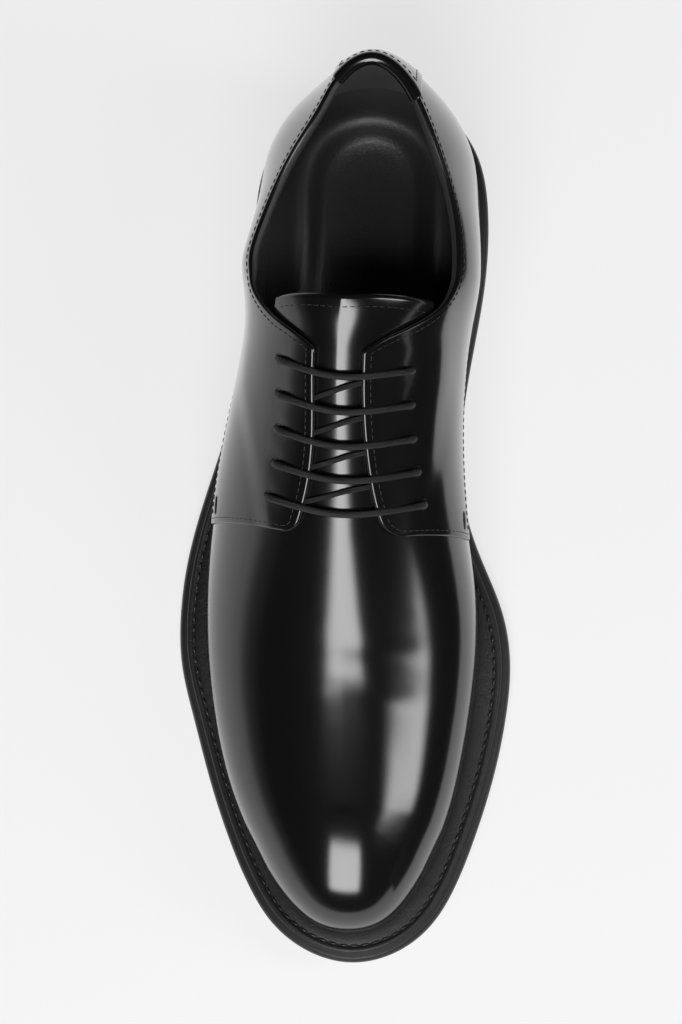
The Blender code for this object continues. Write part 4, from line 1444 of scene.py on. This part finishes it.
def buildEyelets():
    # dark punched holes with a pressed lip
    sheet = Sheet()
    radius = eyelets["diameter"] / 2.0
    turn = np.linspace(0.0, 2.0 * math.pi, eyelets["sides"] + 1)
    for q, v in eyeletSpots.values():
        top = float(facingOffset(np.array(q), np.array(v))) - quarterLook["dimpleDepth"]
        centre, normal = onSurface(q, v, top)
        side = unit(np.cross(normal, np.array([0.0, 1.0, 0.0])))
        lift = np.cross(normal, side)
        circle = np.cos(turn)[:, None] * side + np.sin(turn)[:, None] * lift
        rings = [centre + normal * height + radius * share * circle for share, height in eyelets["lip"]]
        sheet.grid(rings)
    return makePiece("eyelet_holes", sheet.verts, sheet.faces, edgeLeather, ["upper"])


buildEyelets()
print("laces made")

# Stitches
stitchLook = {
    "length": 0.0018,
    "gap": 0.0006,
    "radius": 0.00015,
    "inset": 0.0019,
    "shape": [
        # place along the stitch, height, thickness in shares of its radius
        (0.00, -0.60, 0.35),
        (0.12, 0.35, 0.90),
        (0.50, 0.75, 1.00),
        (0.88, 0.35, 0.90),
        (1.00, -0.60, 0.35),
    ],
    "sides": 6,
    "near": 0.0002,
    "steepest": 6.0,
    "slopeAt": 0.6,
    "fromWelt": 0.03,
    "fromFront": 8,
    "frontStart": 0.02,
    "frontPoints": 50,
    "cornerPoints": 12,
    "tack": 0.0068,
    "tackRows": [0.070, 0.078],
    "tackEnds": (0.0028, 0.0098),
    "tackPoints": 8,
    "tackThickness": 1.4,
    "tongueInset": 0.0030,
    "tongueEnds": 0.002,
    "tonguePoints": 41,
    "tabInset": 0.0018,
    "tabTop": 0.0020,
    "tabPoints": {"side": 20, "foot": 12, "top": 14},
    "weltLength": 0.0026,
    "weltGap": 0.0010,
    "weltRadius": 0.00034,
    "weltInset": 0.0025,
    "weltSink": 0.0001,
    "weltPoints": 1600,
}


def stitchRow(sheet, path, normals, length=stitchLook["length"], gap=stitchLook["gap"],
              radius=stitchLook["radius"]):
    way = runLength(path)
    count = max(1, int(way[-1] / (length + gap)))
    pitch = way[-1] / count
    place, height, thick = np.array(stitchLook["shape"]).T
    turn = np.linspace(0.0, 2.0 * math.pi, stitchLook["sides"] + 1)

    def at(d, values):
        return np.stack([np.interp(d, way, values[:, i]) for i in range(3)], axis=-1)

    for k in range(count):
        d = (k + 0.5) * pitch + (place - 0.5) * length
        normal = unit(at(d, normals))
        along = unit(at(d + stitchLook["near"], path) - at(d - stitchLook["near"], path))
        side = np.cross(along, normal)
        centre = at(d, path) + normal * (radius * height)[:, None]
        around = np.cos(turn)[None, :, None] * side[:, None] + np.sin(turn)[None, :, None] * normal[:, None]
        sheet.grid(centre[:, None] + (radius * thick)[:, None, None] * around)


def onQuarter(q, v):
    return onSurface(q, v, facingOffset(q, v))


def stitchTopEdge(sheet, ways, distance, high, ribLength):
    # along the top edge and down the facings, measured square to the edge
    stride = np.linalg.norm(np.gradient(last(ways, 0.0 * ways + stitchLook["slopeAt"]), axis=0), axis=1)
    slope = np.gradient(high * ribLength) / np.maximum(stride, 1e-9)
    steep = np.sqrt(1.0 + np.clip(slope, -stitchLook["steepest"], stitchLook["steepest"]) ** 2)
    v = high - stitchLook["inset"] * steep / ribLength
    keep = distance > frontCorner(ways)
    stitchRow(sheet, *onQuarter(ways[keep], v[keep]))


def stitchFront(sheet, ways, ribLength, side):
    # along the lower edge, where the quarter lies on the vamp
    low = quarterEdge(ways)
    part = (low > stitchLook["fromWelt"]) & ((ways > 0) == (side < 0))
    part[:stitchLook["fromFront"]] = False
    part[-stitchLook["fromFront"]:] = False
    stitchRow(sheet, *onQuarter(ways[part], low[part] + stitchLook["inset"] / ribLength[part]))
    # up the front edge and round its corner
    speed = wayPerRib(throatQ[side])
    straight, inset = stitchLook["frontPoints"], stitchLook["inset"]
    corner = quarterLook["frontCorner"][side]
    turn = np.radians(np.linspace(0.0, 90.0, stitchLook["cornerPoints"]))
    away = np.concatenate([np.full(straight, inset), corner - (corner - inset) * np.cos(turn)])
    q = throatQ[side] % 1.0 + side * away / speed
    fall = corner - (corner - inset) * np.sin(turn)
    bend = upperEdge(q[straight:]) - fall / ribLength[-1 if side < 0 else 0]
    up = np.linspace(quarterEdge(q[0]) + stitchLook["frontStart"], bend[0], straight + 1)[:-1]
    stitchRow(sheet, *onQuarter(q, np.concatenate([up, bend])))
    # bar tack near the front corner, along the shoe
    for rise in stitchLook["tackRows"]:
        away = np.linspace(*stitchLook["tackEnds"], stitchLook["tackPoints"])
        q = throatQ[side] % 1.0 + side * away / speed
        path, normals = onQuarter(q, quarterEdge(q) + rise)
        stitchRow(sheet, path, normals, stitchLook["tack"], 0.0,
                  stitchLook["radius"] * stitchLook["tackThickness"])


def stitchTongue(sheet):
    # across the tongue's top
    station = size["tongueTop"] + stitchLook["tongueInset"]
    reach = size["tongueHalfWidth"] - stitchLook["tongueEnds"]
    offsets = np.linspace(-reach, reach + vampLook["tongueExtra"], stitchLook["tonguePoints"])
    q, v = np.array([across(station, offset) for offset in offsets]).T
    stitchRow(sheet, *onSurface(straightened(q, v, station), v, size["tongueThickness"]))


def stitchTab(sheet):
    # round the heel tab, then across its top
    half = tabLook["width"] / 2.0 - stitchLook["tabInset"]
    count = stitchLook["tabPoints"]
    down = np.linspace(stitchLook["tabTop"], tabLook["height"] - stitchLook["tabInset"], count["side"])
    around = [(drop, -half) for drop in down]
    around = around + [(down[-1], x) for x in np.linspace(-half, half, count["foot"])[1:-1]]
    around = around + [(drop, half) for drop in down[::-1]]
    top = [(stitchLook["tabTop"], x) for x in np.linspace(-half, half, count["top"])]
    for run in (around, top):
        q, v = np.array([tabPlace(drop, x) for drop, x in run]).T
        stitchRow(sheet, *onSurface(q, v, tabOutside()))


def buildUpperStitches():
    sheet = Sheet()
    ways, distance, high, ribLength = quarterWays()
    stitchTopEdge(sheet, ways, distance, high, ribLength)
    for side in (-1, 1):
        stitchFront(sheet, ways, ribLength, side)
    stitchTongue(sheet)
    stitchTab(sheet)
    return makePiece("upper_stitches", sheet.verts, sheet.faces, threadMaterial, ["upper"],
                     smoothAngle=80.0)


def buildWeltStitches():
    sheet = Sheet()
    q = np.linspace(0.0, 1.0, stitchLook["weltPoints"])
    inset = weltLook["setback"] + stitchLook["weltInset"]
    path = outlineRing(soleOutline, inset, lambda s: weltTop(s) - stitchLook["weltSink"], q)
    normals = np.tile(np.array([0.0, 0.0, 1.0]), (len(q), 1))
    stitchRow(sheet, path, normals, stitchLook["weltLength"], stitchLook["weltGap"],
              stitchLook["weltRadius"])
    return makePiece("welt_stitches", sheet.verts, sheet.faces, threadMaterial, ["welt"],
                     smoothAngle=80.0)


buildUpperStitches()
buildWeltStitches()
print("stitches made")

# Floor, light and camera
studio = {
    "floorSize": 8.0,
    "floorColor": (0.22, 0.22, 0.22, 1.0),
    "floorGlow": 0.70,
    "floorRoughness": 0.9,
    "flag": {"x": 0.128, "y": 0.020, "reach": 0.230, "height": 0.075, "lean": 0.02, "foot": 0.001},
    "flagColor": (0.01, 0.01, 0.01, 1.0),
    "lights": [
        # direction from the shoe, distance, width, height, radiance, share that fades at the rim
        ((-0.05, -0.60, 0.80), 1.25, 0.86, 1.07, 7.6, 0.38),
        ((0.765, -0.090, 0.620), 1.25, 0.40, 1.00, 7.0, 0.55),
    ],
    "sky": [
        # position from below to above, brightness
        (0.0, 0.90),
        (0.20, 0.20),
        (0.45, 0.02),
    ],
    "skyLean": 0.35,
}


def stageCard(name, corners, color):
    # a four-cornered card of the studio, with a plain material
    data = bpy.data.meshes.new(name)
    data.from_pydata(corners, [], [(0, 1, 2, 3)])
    material, nodes, _ = plainMaterial(name)
    nodes["Principled BSDF"].inputs["Base Color"].default_value = color
    data.materials.append(material)
    card = bpy.data.objects.new(name, data)
    bpy.context.scene.collection.objects.link(card)
    return card, nodes["Principled BSDF"]


def buildFloor():
    half = studio["floorSize"] / 2.0
    corners = [(-half, -half, 0), (half, -half, 0), (half, half, 0), (-half, half, 0)]
    _, shader = stageCard("floor", corners, studio["floorColor"])
    shader.inputs["Roughness"].default_value = studio["floorRoughness"]
    shader.inputs["Specular IOR Level"].default_value = 0.0
    shader.inputs["Emission Color"].default_value = (1.0, 1.0, 1.0, 1.0)
    shader.inputs["Emission Strength"].default_value = studio["floorGlow"]


def buildFlag():
    # a dark card on the inner side, seen only in reflections
    flag = studio["flag"]
    low, high = flag["y"] - flag["reach"], flag["y"] + flag["reach"]
    foot, top = (flag["x"], flag["foot"]), (flag["x"] + flag["lean"], flag["height"])
    ends = ((foot, low), (foot, high), (top, high), (top, low))
    corners = [(x, y, z) for (x, z), y in ends]
    card, _ = stageCard("flag", corners, studio["flagColor"])
    card.visible_camera = False
    card.visible_diffuse = False
    card.visible_shadow = False


def fadeLight(light, fade):
    # a softbox is brightest in its middle and fades towards its rim
    light.use_nodes = True
    nodes, links = light.node_tree.nodes, light.node_tree.links
    place = nodes.new("ShaderNodeNewGeometry")
    split = nodes.new("ShaderNodeSeparateXYZ")
    links.new(place.outputs["Parametric"], split.inputs[0])
    edges = []
    for axis in "XY":
        rise = nodes.new("ShaderNodeMapRange")
        rise.interpolation_type = "SMOOTHSTEP"
        rise.inputs["From Max"].default_value = fade / 2.0
        links.new(joined(nodes, links, "PINGPONG", split.outputs[axis], 0.5), rise.inputs["Value"])
        edges.append(rise.outputs["Result"])
    links.new(joined(nodes, links, "MULTIPLY", *edges), nodes["Emission"].inputs["Strength"])


def buildLights():
    for i, (direction, distance, width, height, radiance, fade) in enumerate(studio["lights"]):
        light = bpy.data.lights.new(f"softbox_{i + 1}", "AREA")
        light.shape = "RECTANGLE"
        light.size = width
        light.size_y = height
        light.energy = radiance * math.pi * width * height
        fadeLight(light, fade)
        lamp = bpy.data.objects.new(light.name, light)
        place = Vector(direction).normalized()
        lamp.location = place * distance
        lamp.rotation_mode = "QUATERNION"
        lamp.rotation_quaternion = place.to_track_quat("Z", "Y")
        bpy.context.scene.collection.objects.link(lamp)


def buildSky():
    # bright near the floor and on the outer side, dark above
    sky = bpy.data.worlds.new("studio")
    sky.use_nodes = True
    nodes, links = sky.node_tree.nodes, sky.node_tree.links
    place = nodes.new("ShaderNodeTexCoord")
    split = nodes.new("ShaderNodeSeparateXYZ")
    links.new(place.outputs["Generated"], split.inputs[0])
    lean = joined(nodes, links, "MULTIPLY_ADD", split.outputs["X"], studio["skyLean"], split.outputs["Z"])
    ramp = nodes.new("ShaderNodeValToRGB")
    ramp.color_ramp.elements.new(studio["sky"][1][0])
    for element, (position, brightness) in zip(ramp.color_ramp.elements, studio["sky"]):
        element.position = position
        element.color = (brightness, brightness, brightness, 1.0)
    links.new(joined(nodes, links, "ADD", lean, studio["skyLean"]), ramp.inputs["Fac"])
    links.new(ramp.outputs["Color"], nodes["Background"].inputs["Color"])
    bpy.context.scene.world = sky


camera = {
    "place": (0.0741, -0.1978, 1.3287),
    "target": (0.0000, 0.0000, 0.0350),
    "up": (0.0, 0.9900, 0.1409),
    "fill": 0.87,
    "sensor": (24.0, 36.0),
}


def buildCamera():
    data = bpy.data.cameras.new("camera")
    eye = bpy.data.objects.new("camera", data)
    place, target = Vector(camera["place"]), Vector(camera["target"])
    eye.location = place
    eye.rotation_mode = "QUATERNION"
    forward = (target - place).normalized()
    right = forward.cross(Vector(camera["up"])).normalized()
    eye.rotation_quaternion = Matrix((right, right.cross(forward), -forward)).transposed().to_quaternion()
    distance = (target - place).length
    data.sensor_fit = "VERTICAL"
    data.sensor_width, data.sensor_height = camera["sensor"]
    data.lens = data.sensor_height * distance * camera["fill"] / length
    bpy.context.scene.collection.objects.link(eye)
    bpy.context.scene.camera = eye


buildFloor()
buildFlag()
buildLights()
buildSky()
buildCamera()
bpy.context.scene.view_settings.view_transform = "Standard"
print("studio set")
